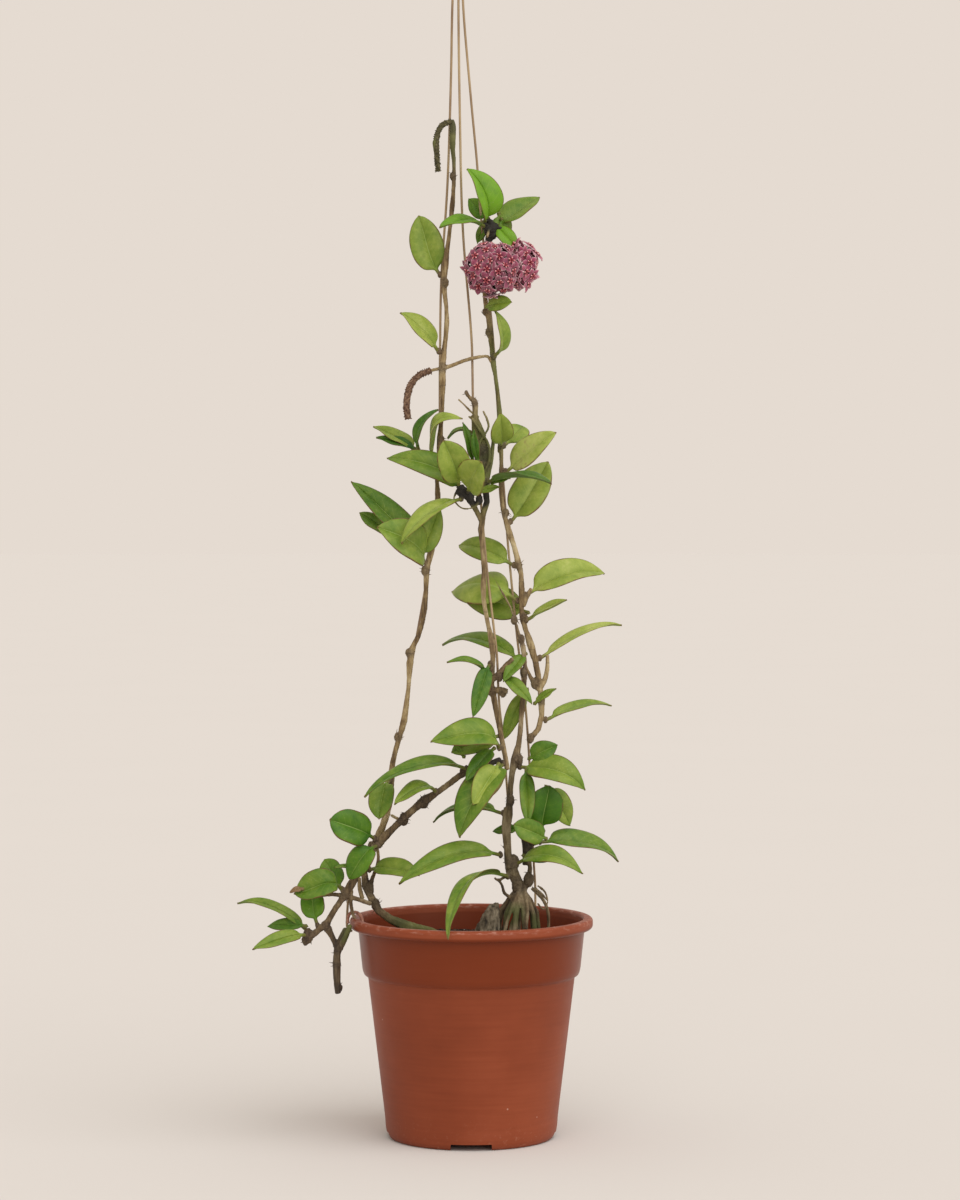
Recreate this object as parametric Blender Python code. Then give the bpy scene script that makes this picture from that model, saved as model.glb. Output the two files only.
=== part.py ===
"""Hoya in a hanging nursery pot: a turned plastic pot, potting mix, climbing vines with
their leaves and two flower umbels, and a three-wire hanger that meets in a hook.

Metres, +Z up. The origin is on the pot's axis, at the plane that its feet stand on.
The front of the plant faces -Y. Tables of places below are in millimetres.
"""

import math

import bmesh
import bpy
from mathutils import Euler, Vector

MM = 0.001
GAP = 0.45                 # clearance between neighbouring pieces, mm

# Pot, mm
POT_HEIGHT = 154.0
LIP_RADIUS = 85.0
LIP_HEIGHT = 7.5
BAND_RADIUS = 79.3
BAND_LOW_RADIUS = 76.3
BAND_BOTTOM = 118.0
BODY_TOP_RADIUS = 72.4
BODY_TOP = 113.0
BODY_LOW_RADIUS = 60.5
BODY_LOW = 14.0
FOOT_RADIUS = 57.0
FOOT_INNER_RADIUS = 46.0
FOOT_HEIGHT = 4.5
CENTRE_FOOT_RADIUS = 18.0
NOTCH_WIDTH = 28.0
NOTCH_COUNT = 4
DRAIN_HOLE_RADIUS = 5.0
DRAIN_HOLE_RING = 34.0
WALL = 1.5
FLOOR_THICKNESS = 2.0
POT_SIDES = 48

# Potting mix, mm
MIX_TOP = 136.5
MIX_BOTTOM = FOOT_HEIGHT + FLOOR_THICKNESS + GAP
MIX_SIDES = 32
MIX_RINGS = 4

# Stems, mm
STEM_SIDES = 6
STEM_GIRTH = 0.9           # share of the radii in the routes below
RING_SPACING = 10.0
SWELLING_EVERY = 4         # one ring in this many is a leaf joint
SWELLING = 1.3

# Wires and hook, mm
WIRE_RADIUS = 0.9
WIRE_SPACING = 18.0
HOOK_WIRE_RADIUS = 1.5
SLEEVE_RADIUS = 3.6
SLEEVE_BOTTOM = 862.0
SLEEVE_TOP = 876.0
SHANK_LENGTH = 15.0
HANG_POINT = (-8.0, 0.0)
HOOK_RADIUS = 11.0

# Leaves, mm
STALK_RADIUS = 1.2
STALK_LENGTH = 4.0
LEAF_THICKNESS = 1.7
LEAF_RINGS = 8
WIDEST_PART = 0.4          # share of the blade, from the stalk

# Routes run from the free end to the root end: x, y, z, radius
LEFT_VINE = [
    (-23, -5, 674, 1.5), (-25, -5, 688, 1.9), (-25, -4, 699, 1.9), (-20, -3, 706, 1.8),
    (-13, -2, 708, 2.6), (-13, -2, 691, 1.9), (-12, -3, 673, 2.1), (-14, -4, 642, 2.0),
    (-19, -3, 600, 2.7), (-17, -3, 572, 2.0), (-20, -4, 538, 2.8), (-20, -5, 512, 2.1),
    (-22, -4, 488, 2.2), (-24, -3, 460, 2.1), (-23, -4, 440, 2.3), (-26, -6, 418, 2.2),
    (-31, -6, 398, 2.8), (-32, -5, 376, 2.2), (-35, -5, 356, 2.3), (-42, -6, 340, 2.8),
    (-44, -5, 313, 2.2), (-47, -5, 292, 2.6), (-55, -6, 263, 2.6), (-56, -7, 244, 2.5),
    (-58, -7, 228, 2.6), (-66, -4, 209, 2.9), (-72, -3, 197, 2.9), (-75, -4, 188, 3.0),
    (-74, -6, 178, 3.0), (-69, -9, 167, 3.2), (-63, -11, 158, 3.4), (-52, -11, 151.5, 3.5),
    (-42, -9, 148, 3.4), (-31, -6, 146, 3.2), (-20, -3, 140.5, 2.8),
]
LEFT_SPUR = [(-37, 2, 481, 1.7), (-31, 0, 474, 1.9), (-24, -4, 463, 2.0)]
SPENT_STALK = [
    (-44, -9, 502, 1.6), (-45, -9, 512, 2.2), (-43, -8, 524, 2.1), (-37, -7, 532, 1.9),
    (-28, -6, 536, 1.7), (-20, -5, 538, 1.5), (-9, -2, 541, 1.2), (1, 1, 544, 1.1),
    (11, 2, 546, 1.1),
]
MIDDLE_VINE = [
    (-4, -10, 520, 1.3), (0, -10, 516, 1.7), (4, -10, 511, 2.4), (3, -10, 503, 1.5),
    (4, -10, 492, 1.7), (5, -10, 477, 2.8), (8, -10, 460, 3.0), (11, -11, 446, 2.6),
    (7, -12, 431, 2.4), (7, -12, 420, 1.9), (9, -12, 393, 2.1), (8, -13, 380, 1.9),
    (12, -13, 358, 2.0), (15, -14, 341, 2.2), (14, -15, 319, 2.1), (16, -16, 306, 2.1),
    (20, -17, 285, 2.2), (23, -19, 271, 2.2), (25, -20, 259, 2.0),
]
MIDDLE_ARM = [(-10, -15, 452, 2.4), (-3, -14, 449, 3.4), (1, -13, 443, 2.4), (7, -12, 431, 1.9)]
RIGHT_VINE = [
    (13, 2, 641, 2.6), (13, 3, 634, 3.4), (11, 3, 620, 2.2), (9, 2, 589, 1.9),
    (11, 1, 579, 2.0), (13, 0, 566, 2.8), (15, 0, 544, 2.0), (18, 0, 523, 2.0),
    (20, 0, 502, 2.1), (21, 0, 467, 2.0), (21, 0, 446, 2.1), (25, -1, 428, 2.2),
    (30, -2, 413, 2.2), (33, -3, 401, 2.8), (35, -3, 390, 2.2), (35, -4, 367, 2.3),
    (38, -5, 355, 2.4), (44, -6, 336, 2.8), (48, -7, 314, 2.3), (49, -8, 297, 2.4),
    (46, -10, 285, 2.5), (40, -12, 279, 2.3),
]
UMBEL_STALKS = [
    [(11, -13, 628, 1.3), (12, -7, 633, 1.4), (13, 2, 635, 1.6)],
    [(30, 3, 630, 1.3), (23, 4, 635, 1.4), (13, 3, 636, 1.6)],
]
MAIN_VINE = [
    (13, -7, 397, 1.1), (20, -7, 384, 1.3), (27, -8, 372, 1.5), (32, -10, 356, 2.0),
    (37, -12, 338, 2.5), (37, -13, 316, 2.6), (35, -13, 298, 2.7), (33, -12, 276, 3.2),
    (29, -12, 260, 3.4), (27, -13, 244, 3.3), (26, -14, 228, 3.3), (25, -15, 211, 3.4),
    (25, -15, 200, 3.8), (28, -15, 188, 4.6), (33, -15, 178, 5.0), (35, -15, 170, 4.6),
]
SIDE_SHOOT = [
    (51, -12, 214, 1.3), (46, -12, 210, 2.1), (40, -12, 205, 3.0), (40, -13, 196, 2.6),
    (41, -14, 187, 2.8), (38, -15, 178, 3.0), (35, -15, 171, 3.0),
]
DRY_TWIG = [(7, -14, 227, 0.8), (13, -14, 216, 0.8), (19, -15, 207, 0.9), (25, -15, 201, 1.0)]
ARCHING_STEM = [
    (20, -21, 266, 2.3), (13, -22, 263, 2.4), (3, -21, 260, 2.5), (-6, -20, 256, 2.7),
    (-22, -19, 244, 2.5), (-33, -18, 237, 3.1), (-47, -17, 225, 2.9), (-58, -16, 214, 2.7),
    (-66, -14, 206, 3.2), (-74, -13, 194, 2.8), (-82, -12, 181, 2.8), (-88, -12, 171, 2.7),
    (-95, -12, 161, 2.4), (-101, -12, 151, 2.6), (-108, -12, 145, 2.6), (-115, -12, 140, 3.2),
]
ARCH_BRANCHES = [
    [(-101, -12, 152, 1.7), (-96, -13, 141, 1.7), (-93, -13, 132, 2.4), (-93, -13, 120, 2.2),
     (-93, -13, 103, 2.2)],
    [(-84, -26, 151, 2.0), (-88, -20, 141, 2.4), (-93, -13, 131, 2.4)],
    [(-106, -9, 170, 1.3), (-97, -10, 171, 1.6), (-86, -12, 170, 2.0), (-76, -14, 167, 1.9),
     (-70, -15, 165, 1.9)],
]

# Roots fan out from the crown to the potting mix: end x, end y, radius
CROWN = (35.0, -15.0, 174.0)
ROOT_ENDS = [
    (18, -14, 2.9), (23, -25, 2.9), (30, -30, 2.7), (37, -28, 2.8), (44, -23, 2.5),
    (47, -13, 2.2), (43, -4, 2.2), (33, -2, 2.3), (23, -5, 2.3),
]
ROOT_STEPS = [(0.55, 167.0), (0.92, 156.0)]     # share of the spread, height

# Stump of bark beside the crown: x, y, z
STUMP = [
    (0, -27, 0), (6, -35, 0), (17, -36, 0), (20, -28, 0), (17, -18, 0), (5, -17, 0),
    (2, -28, 11), (8, -34, 20), (15, -35, 28), (19, -29, 31), (17, -22, 28), (6, -20, 15),
    (12, -31, 29),
]

# Hanger wires, from the hook down: x, y, z
LEFT_WIRE = [
    (-9.5, 0.0, SLEEVE_BOTTOM), (-13, 1, 796), (-14, 2, 750), (-15, 3, 712), (-17, 3, 660),
    (-21, 4, 600), (-22, 4, 540), (-23, 4, 470), (-30, 4, 400), (-42, 4, 330),
    (-54, 3, 262), (-66, 4, 210), (-81, 2, 185), (-86.6, 0, 165), (-87.2, 0, 152),
]
LEFT_WIRE_HOOK = [(-87.2, 0, 148), (-86.4, 0, 144.5), (-83.8, 0, 144.2)]
MIDDLE_WIRE = [
    (-8.0, 1.8, SLEEVE_BOTTOM), (-9, 2, 796), (-8, 2, 712), (-6, 1, 635), (0, 0, 560),
    (1, -5, 519), (3, -5, 488), (7, -5, 440), (11, -8, 396), (15, -10, 362), (18, -11, 335),
    (19, -8, 308), (22, 2, 280), (26, 20, 230), (28, 52, 190), (30.4, 82.2, 165), (30.4, 82.2, 152),
]
MIDDLE_WIRE_HOOK = [(30.4, 82.2, 148), (30.2, 81.6, 144.5), (29.3, 79.2, 144.2)]
RIGHT_WIRE = [
    (-6.5, 0.0, SLEEVE_BOTTOM), (-6, 1, 796), (-1, 3, 733), (4, 5, 680), (7, 7, 640), (15, 5, 560),
    (19, 5, 500), (23, 5, 450), (26, 4, 410), (32, 4, 350), (38, 6, 300), (42, 20, 240),
    (44, 50, 195), (46, 74.5, 165), (46, 74.5, 152),
]
RIGHT_WIRE_HOOK = [(46, 74.5, 148), (45.6, 73.9, 144.5), (44.2, 71.7, 144.2)]

# Flower umbels: name, centre x y z, radius along x y z
UMBELS = [
    ("left_umbel", (11, -17, 607), (17.5, 14.0, 19.5)),
    ("right_umbel", (34, 4, 611), (14.0, 12.5, 17.0)),
]

# Leaves: name, stem, height of the joint on it, tip x y z, width, way the face looks,
# lift of the midrib near the stalk and near the tip, fold of the two halves in degrees
LEAVES = [
    ("leaf_left_1", "left", 603, (-37, 12, 645), 24, (-0.1, -1, 0.2), 2, 2, 12),
    ("leaf_left_2", "left", 550, (-49, -12, 576), 21, (0.2, -0.7, 0.8), 6, 3, 16),
    ("leaf_left_3", "spur", 483, (-69, 22, 498), 15, (0, -0.5, 0.9), 8, 1, 20),
    ("leaf_left_4", "spur", 476, (-6, -18, 502), 20, (-0.2, -0.6, 0.9), 0, 26, 14),
    ("leaf_left_5", "left", 412, (-85, 26, 459), 23, (0.3, -0.8, 0.6), 0, 1, 20),
    ("leaf_left_6", "left", 402, (-65, -36, 427), 32, (0.3, -1, 0.6), 18, 8, 12),
    ("leaf_left_7", "left", 250, (-64, -26, 225), 19, (-0.3, -1, 0.2), 6, 1, 16),
    ("leaf_left_8", "left", 189, (-36, -26, 186), 18, (0, -0.7, 0.7), 6, 4, 16),
    ("leaf_middle_1", "arm", 451, (-59, -4, 475), 22, (0, -0.8, 0.6), 20, 13, 14),
    ("leaf_middle_2", "arm", 452, (-19, -34, 487), 24, (0.1, -1, 0.25), 3, 2, 16),
    ("leaf_middle_3", "middle", 457, (55, -52, 457), 21, (0, -0.1, 1), 5, 5, 16),
    ("leaf_middle_4", "arm", 451, (-48, -44, 416), 20, (-0.4, -0.6, 0.8), 11, 9, 14),
    ("leaf_middle_5", "middle", 331, (1, -34, 296), 13, (0.2, -1, 0.2), 3, 1, 14),
    ("leaf_middle_6", "middle", 274, (-28, -44, 280), 25, (0.1, -0.8, 0.7), 28, 6, 14),
    ("leaf_middle_7", "arm", 450, (7, -46, 472), 25, (-0.1, -1, 0.3), 4, 3, 10),
    ("leaf_top_1", "right", 640, (-3, -6, 676), 27, (1, -1, 0.1), 20, 10, 24),
    ("leaf_top_2", "right", 638, (48, 18, 658), 25, (-0.2, -0.7, 1), 1, 1, 18),
    ("leaf_top_3", "right", 638, (-22, -26, 634), 17, (0, -0.6, 1), 6, 4, 16),
    ("leaf_right_1", "right", 546, (16, -10, 578), 17, (1, -0.6, 0), 9, 6, 16),
    ("leaf_right_2", "right", 485, (20, -24, 506), 17, (0.1, -1, 0.5), 3, 2, 10),
    ("leaf_right_3", "right", 484, (36, 20, 498), 21, (-0.2, -0.9, 0.5), 1, 1, 10),
    ("leaf_right_4", "right", 466, (59, -8, 493), 24, (-0.3, -0.8, 0.6), 4, 3, 14),
    ("leaf_right_5", "right", 431, (54, 16, 473), 28, (-0.4, -1, 0.1), 3, 1, 14),
    ("leaf_right_6", "right", 402, (-9, 20, 414), 21, (0, -0.8, 0.6), 9, 8, 12),
    ("leaf_right_7", "right", 375, (-14, 24, 381), 36, (0, -0.8, 0.8), 20, 12, -12),
    ("leaf_right_8", "right", 380, (94, 24, 394), 26, (-0.1, -0.8, 0.7), 15, 12, 24),
    ("leaf_right_9", "right", 361, (66, -22, 377), 14, (0, -0.5, 0.9), 1, 0, 20),
    ("leaf_right_10", "right", 336, (106, 20, 358), 13, (-0.3, -0.5, 0.9), 5, 11, 20),
    ("leaf_right_11", "right", 294, (99, 22, 301), 14, (0, -0.4, 1), 7, 7, 20),
    ("leaf_main_1", "main", 335, (-21, 46, 343), 19, (0, -0.5, 0.9), 14, 13, 16),
    ("leaf_main_2", "main", 262, (79, -26, 245), 24, (0, -0.8, 0.7), 5, 19, 16),
    ("leaf_main_3", "main", 228, (-27, 14, 219), 17, (0, -0.3, 1), 7, 12, 16),
    ("leaf_main_4", "main", 193, (77, -36, 188), 18, (0, -0.7, 0.8), 11, 20, 14),
    ("leaf_main_5", "main", 201, (-50, -44, 182), 20, (0, -0.7, 0.8), 18, 15, 16),
    ("leaf_main_6", "main", 186, (-16, -92, 150), 17, (-0.6, -0.5, 0.7), 24, 21, 16),
    ("leaf_shoot_1", "shoot", 214, (54, -20, 248), 25, (0.1, -1, 0.2), 3, 3, 10),
    ("leaf_shoot_2", "shoot", 210, (104, 18, 191), 23, (0, -0.6, 0.9), 12, 12, 20),
    ("leaf_arch_1", "arch", 258, (-74, -34, 241), 18, (0, -0.45, 1), 11, 15, 18),
    ("leaf_arch_2", "arch", 243, (-53, -42, 237), 16, (0, -0.5, 1), 11, 4, 16),
    ("leaf_arch_3", "arch", 208, (-98, -30, 225), 24, (0, -1, 0.35), 5, 3, 10),
    ("leaf_arch_4", "arch", 206, (-85, -22, 183), 19, (-0.4, -1, 0.3), 10, 4, 10),
    ("leaf_arch_5", "arch", 173, (-123, -22, 173), 24, (0, -0.8, 0.6), 18, -3, 20),
    ("leaf_arch_6", "arch", 147, (-112.5, -2, 173), 17, (0, -1, 0.2), 3, 3, 10),
    ("leaf_arch_7", "arch", 142, (-165, 14, 162), 12, (0.1, -0.5, 1), 3, 13, 20),
    ("leaf_arch_8", "arch", 141, (-151, -34, 136), 13, (-0.1, -0.8, 0.7), 1, 1, 16),
    ("leaf_arch_9", "arch", 266, (-8, -48, 214), 30, (-0.55, -0.85, 0.3), 14, 14, 14),
]

MATERIALS = {
    "pot": ((0.25, 0.060, 0.028), 0.5, 0.0),
    "mix": ((0.020, 0.015, 0.012), 0.95, 0.0),
    "bark": ((0.16, 0.12, 0.085), 0.9, 0.0),
    "stem": ((0.16, 0.10, 0.05), 0.8, 0.0),
    "leaf": ((0.11, 0.21, 0.04), 0.4, 0.0),
    "flower": ((0.35, 0.10, 0.17), 0.7, 0.0),
    "wire": ((0.22, 0.13, 0.07), 0.5, 0.0),
    "hook": ((0.55, 0.50, 0.43), 0.4, 0.8),
}


def clear_scene():
    """Start from a scene without objects."""
    for item in list(bpy.data.objects):
        bpy.data.objects.remove(item, do_unlink=True)


def material(slot):
    """The Principled material of a slot, made once."""
    made = bpy.data.materials.get(slot)
    if made:
        return made
    colour, roughness, metallic = MATERIALS[slot]
    made = bpy.data.materials.new(slot)
    made.use_nodes = True
    shader = made.node_tree.nodes["Principled BSDF"]
    shader.inputs["Base Color"].default_value = (*colour, 1.0)
    shader.inputs["Roughness"].default_value = roughness
    shader.inputs["Metallic"].default_value = metallic
    return made


def add_object(name, bm, slot):
    """Turn a bmesh in millimetres into a named object in metres."""
    bmesh.ops.scale(bm, vec=(MM, MM, MM), verts=bm.verts)
    bmesh.ops.recalc_face_normals(bm, faces=bm.faces)
    mesh = bpy.data.meshes.new(name)
    bm.to_mesh(mesh)
    bm.free()
    mesh.materials.append(material(slot))
    mesh.shade_smooth()
    mesh.set_sharp_from_angle(angle=math.radians(40))
    made = bpy.data.objects.new(name, mesh)
    bpy.context.scene.collection.objects.link(made)
    return made


def join_by_union(body, others):
    """Unite other closed objects with a body, and remove them."""
    for other in others:
        union = body.modifiers.new("union", "BOOLEAN")
        union.operation = "UNION"
        union.solver = "EXACT"
        union.object = other
    bpy.context.view_layer.update()
    graph = bpy.context.evaluated_depsgraph_get()
    united = bpy.data.meshes.new_from_object(body.evaluated_get(graph))
    body.modifiers.clear()
    body.data = united
    for other in others:
        bpy.data.objects.remove(other, do_unlink=True)


def cut_away(body, cutters):
    """Cut closed objects out of a body, and remove them."""
    for cutter in cutters:
        cut = body.modifiers.new("cut", "BOOLEAN")
        cut.operation = "DIFFERENCE"
        cut.solver = "EXACT"
        cut.object = cutter
    bpy.context.view_layer.update()
    graph = bpy.context.evaluated_depsgraph_get()
    left_over = bpy.data.meshes.new_from_object(body.evaluated_get(graph))
    body.modifiers.clear()
    body.data = left_over
    for cutter in cutters:
        bpy.data.objects.remove(cutter, do_unlink=True)


# Smooth routes ---------------------------------------------------------------------

def smooth_point(points, at):
    """A Catmull-Rom curve through points, at a parameter counted in points."""
    last = len(points) - 1
    index = min(int(at), last - 1)
    part = at - index
    before = points[max(index - 1, 0)]
    start = points[index]
    end = points[index + 1]
    after = points[min(index + 2, last)]
    value = []
    for a, b, c, d in zip(before, start, end, after):
        bend = (2 * a - 5 * b + 4 * c - d) * part ** 2 + (3 * b - a - 3 * c + d) * part ** 3
        value.append(0.5 * (2 * b + (c - a) * part + bend))
    return value


def even_route(points, spacing):
    """Points along the smooth curve at an even spacing, with both ends."""
    fine = [smooth_point(points, step / 20) for step in range(20 * (len(points) - 1) + 1)]
    lengths = [0.0]
    for a, b in zip(fine, fine[1:]):
        lengths.append(lengths[-1] + (Vector(b[:3]) - Vector(a[:3])).length)
    count = max(2, round(lengths[-1] / spacing))
    even = []
    index = 0
    for step in range(count + 1):
        target = lengths[-1] * step / count
        while index < len(lengths) - 2 and lengths[index + 1] < target:
            index += 1
        span = max(lengths[index + 1] - lengths[index], 1e-9)
        part = min(max((target - lengths[index]) / span, 0.0), 1.0)
        even.append([a + (b - a) * part for a, b in zip(fine[index], fine[index + 1])])
    return even


def directions(centres):
    """The direction of travel at each centre of a route."""
    last = len(centres) - 1
    return [(centres[min(i + 1, last)] - centres[max(i - 1, 0)]).normalized()
            for i in range(last + 1)]


def tube(name, slot, route, radii, sides):
    """A closed tube along a route, with a domed end at each side."""
    centres = [Vector(point[:3]) for point in route]
    ways = directions(centres)
    side = ways[0].orthogonal().normalized()
    bm = bmesh.new()
    rings = []
    for centre, way, radius in zip(centres, ways, radii):
        side = (side - way * side.dot(way)).normalized()
        up = way.cross(side)
        turns = [2 * math.pi * k / sides for k in range(sides)]
        rings.append([bm.verts.new(centre + (side * math.cos(a) + up * math.sin(a)) * radius)
                      for a in turns])
    start = bm.verts.new(centres[0] - ways[0] * radii[0] * 0.5)
    end = bm.verts.new(centres[-1] + ways[-1] * radii[-1] * 0.5)
    close_rings(bm, rings, start, end)
    return add_object(name, bm, slot)


def close_rings(bm, rings, start, end):
    """Skin a row of rings and close it with one vertex at each end."""
    count = len(rings[0])
    for k in range(count):
        n = (k + 1) % count
        bm.faces.new((start, rings[0][n], rings[0][k]))
        for a, b in zip(rings, rings[1:]):
            bm.faces.new((a[k], a[n], b[n], b[k]))
        bm.faces.new((end, rings[-1][k], rings[-1][n]))


def stem(name, points):
    """A stem along a route, with a swelling at each leaf joint."""
    route = even_route(points, RING_SPACING)
    radii = [point[3] * STEM_GIRTH for point in route]
    for index in range(2, len(radii) - 2, SWELLING_EVERY):
        radii[index] *= SWELLING
    return tube(name, "stem", route, radii, STEM_SIDES)


def twig(name, points):
    """A short side stem or root without leaf joints."""
    route = even_route(points, RING_SPACING)
    return tube(name, "stem", route, [point[3] * STEM_GIRTH for point in route], STEM_SIDES)


# Pieces ----------------------------------------------------------------------------

def turned(name, slot, profile, sides):
    """A closed ring or cup turned from a profile of radius and height, in order."""
    bm = bmesh.new()
    rings = []
    for radius, height in profile:
        turns = [2 * math.pi * (k + 0.5) / sides for k in range(sides)]
        rings.append([bm.verts.new((radius * math.cos(a), radius * math.sin(a), height))
                      for a in turns])
    for k in range(sides):
        n = (k + 1) % sides
        for a, b in zip(rings, rings[1:]):
            bm.faces.new((a[k], a[n], b[n], b[k]))
    bm.faces.new(list(reversed(rings[0])))
    bm.faces.new(rings[-1])
    return add_object(name, bm, slot)


def pot_profile():
    """Radius and height along the pot, from the middle of its base over the lip inside."""
    lip_bottom = POT_HEIGHT - LIP_HEIGHT
    floor = FOOT_HEIGHT + FLOOR_THICKNESS
    outside = [
        (CENTRE_FOOT_RADIUS, 0.0), (CENTRE_FOOT_RADIUS + 1.0, FOOT_HEIGHT),
        (FOOT_INNER_RADIUS - 1.0, FOOT_HEIGHT), (FOOT_INNER_RADIUS, 0.0),
        (FOOT_RADIUS, 0.0), (FOOT_RADIUS + 2.2, 3.0), (BODY_LOW_RADIUS - 0.5, 8.0),
        (BODY_LOW_RADIUS, BODY_LOW), (BODY_TOP_RADIUS, BODY_TOP),
        (BAND_LOW_RADIUS - 1.2, BODY_TOP + 1.5), (BAND_LOW_RADIUS, BAND_BOTTOM),
        (BAND_RADIUS, lip_bottom), (LIP_RADIUS - 1.2, lip_bottom), (LIP_RADIUS, lip_bottom + 1.2),
        (LIP_RADIUS, POT_HEIGHT - 1.2), (LIP_RADIUS - 1.2, POT_HEIGHT),
    ]
    inside = [
        (BAND_RADIUS - WALL + 1.0, POT_HEIGHT), (BAND_RADIUS - WALL, POT_HEIGHT - 1.5),
        (BAND_LOW_RADIUS - WALL, BAND_BOTTOM), (BODY_TOP_RADIUS - WALL, BODY_TOP - 1.0),
        (BODY_LOW_RADIUS - WALL, BODY_LOW), (FOOT_RADIUS, floor),
    ]
    return outside + inside


def block(name, size, place, turn):
    """A cutter: a box at a place, turned about the vertical."""
    bm = bmesh.new()
    bmesh.ops.create_cube(bm, size=1.0)
    bmesh.ops.scale(bm, vec=size, verts=bm.verts)
    bmesh.ops.translate(bm, vec=place, verts=bm.verts)
    for vertex in bm.verts:
        vertex.co.rotate(Euler((0.0, 0.0, turn)))
    return add_object(name, bm, "pot")


def post(name, radius, place, height):
    """A cutter: an upright round bar."""
    bm = bmesh.new()
    bmesh.ops.create_cone(bm, cap_ends=True, segments=12, radius1=radius, radius2=radius, depth=height)
    bmesh.ops.translate(bm, vec=place, verts=bm.verts)
    return add_object(name, bm, "pot")


def build_pot():
    """The pot, with notches through its ring foot and drain holes through its floor."""
    pot = turned("pot", "pot", pot_profile(), POT_SIDES)
    cutters = []
    for index in range(NOTCH_COUNT):
        turn = 2 * math.pi * index / NOTCH_COUNT
        size = (FOOT_RADIUS - FOOT_INNER_RADIUS + 16, NOTCH_WIDTH, 2 * FOOT_HEIGHT)
        middle = (FOOT_RADIUS + FOOT_INNER_RADIUS) / 2
        cutters.append(block(f"notch_{index}", size, (middle + 3.0, 0, 0), turn))
        turn += math.pi / NOTCH_COUNT
        place = (DRAIN_HOLE_RING * math.cos(turn), DRAIN_HOLE_RING * math.sin(turn), FOOT_HEIGHT)
        cutters.append(post(f"hole_{index}", DRAIN_HOLE_RADIUS, place, 4 * FLOOR_THICKNESS))
    cut_away(pot, cutters)


def build_potting_mix():
    """The potting mix: a plug with an uneven top that fills the pot up into its band."""
    inset = WALL + GAP
    band_radius = BAND_LOW_RADIUS - inset
    sides = [
        (FOOT_RADIUS - 2 * GAP, MIX_BOTTOM), (BODY_LOW_RADIUS - inset, BODY_LOW + 1.0),
        (BODY_TOP_RADIUS - inset - 1.0, BODY_TOP - 2.0), (band_radius, BAND_BOTTOM + 1.0),
        (band_radius + 0.8, MIX_TOP - 2.0),
    ]
    bm = bmesh.new()
    rings = []
    for radius, height in sides:
        rings.append(mix_ring(bm, radius, lambda a, h=height: h))
    for index in range(MIX_RINGS):
        radius = (band_radius - 2.0) * (1 - index / MIX_RINGS)
        rings.append(mix_ring(bm, radius, lambda a, r=radius: uneven_height(r, a)))
    bottom = bm.verts.new((0, 0, MIX_BOTTOM - GAP / 4))
    top = bm.verts.new((0, 0, MIX_TOP))
    close_rings(bm, rings, bottom, top)
    add_object("potting_mix", bm, "mix")


def mix_ring(bm, radius, height_at):
    """A ring of vertices whose height follows a rule of the angle."""
    turns = [2 * math.pi * (k + 0.5) / MIX_SIDES for k in range(MIX_SIDES)]
    return [bm.verts.new((radius * math.cos(a), radius * math.sin(a), height_at(a))) for a in turns]


def uneven_height(radius, angle):
    """The top of the mix: gentle lumps of up to a millimetre."""
    return MIX_TOP - 0.5 + 0.5 * math.sin(3 * angle + radius / 9) * math.cos(radius / 11)


def build_stems():
    """The climbing stems, each united with its side stems."""
    left = stem("left_vine", LEFT_VINE)
    join_by_union(left, [twig("spent_stalk", SPENT_STALK), twig("left_spur", LEFT_SPUR)])
    middle = stem("middle_vine", MIDDLE_VINE)
    join_by_union(middle, [twig("arm", MIDDLE_ARM)])
    right = stem("right_vine", RIGHT_VINE)
    join_by_union(right, [twig(f"umbel_stalk_{i}", points) for i, points in enumerate(UMBEL_STALKS)])
    main = stem("main_vine", MAIN_VINE)
    join_by_union(main, [twig("shoot", SIDE_SHOOT), twig("dry_twig", DRY_TWIG)] + build_roots())
    arch = stem("arching_stem", ARCHING_STEM)
    branches = [twig(f"branch_{i}", points) for i, points in enumerate(ARCH_BRANCHES)]
    join_by_union(arch, branches)


def build_roots():
    """Roots that leave the crown, spread at once and stop on the potting mix."""
    roots = []
    x0, y0, top = CROWN
    for index, (x, y, radius) in enumerate(ROOT_ENDS):
        route = [(x0, y0, top + 2, radius)]
        for spread, height in ROOT_STEPS:
            route.append((x0 + (x - x0) * spread, y0 + (y - y0) * spread, height, radius))
        route.append((x, y, MIX_TOP + GAP + radius * 0.5, radius * 0.8))
        roots.append(twig(f"root_{index}", route))
    return roots


def build_stump():
    """A leaning piece of bark, with its foot on the potting mix."""
    bm = bmesh.new()
    lift = MIX_TOP + GAP
    for x, y, z in STUMP:
        bm.verts.new((x, y, z + lift))
    hull = bmesh.ops.convex_hull(bm, input=bm.verts)
    loose = [item for item in hull["geom_interior"] if isinstance(item, bmesh.types.BMVert)]
    bmesh.ops.delete(bm, geom=loose, context="VERTS")
    add_object("bark_stump", bm, "bark")


def build_wires():
    """The three hanger wires, each bent under the lip of the pot."""
    routes = [
        ("left_wire", LEFT_WIRE, LEFT_WIRE_HOOK),
        ("middle_wire", MIDDLE_WIRE, MIDDLE_WIRE_HOOK),
        ("right_wire", RIGHT_WIRE, RIGHT_WIRE_HOOK),
    ]
    for name, points, hook in routes:
        drop = [points[0][0], points[0][1], SLEEVE_BOTTOM - GAP - WIRE_RADIUS * 0.5]
        route = even_route([drop] + points[1:], WIRE_SPACING) + [list(point) for point in hook]
        tube(name, "wire", route, [WIRE_RADIUS] * len(route), 5)


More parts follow.
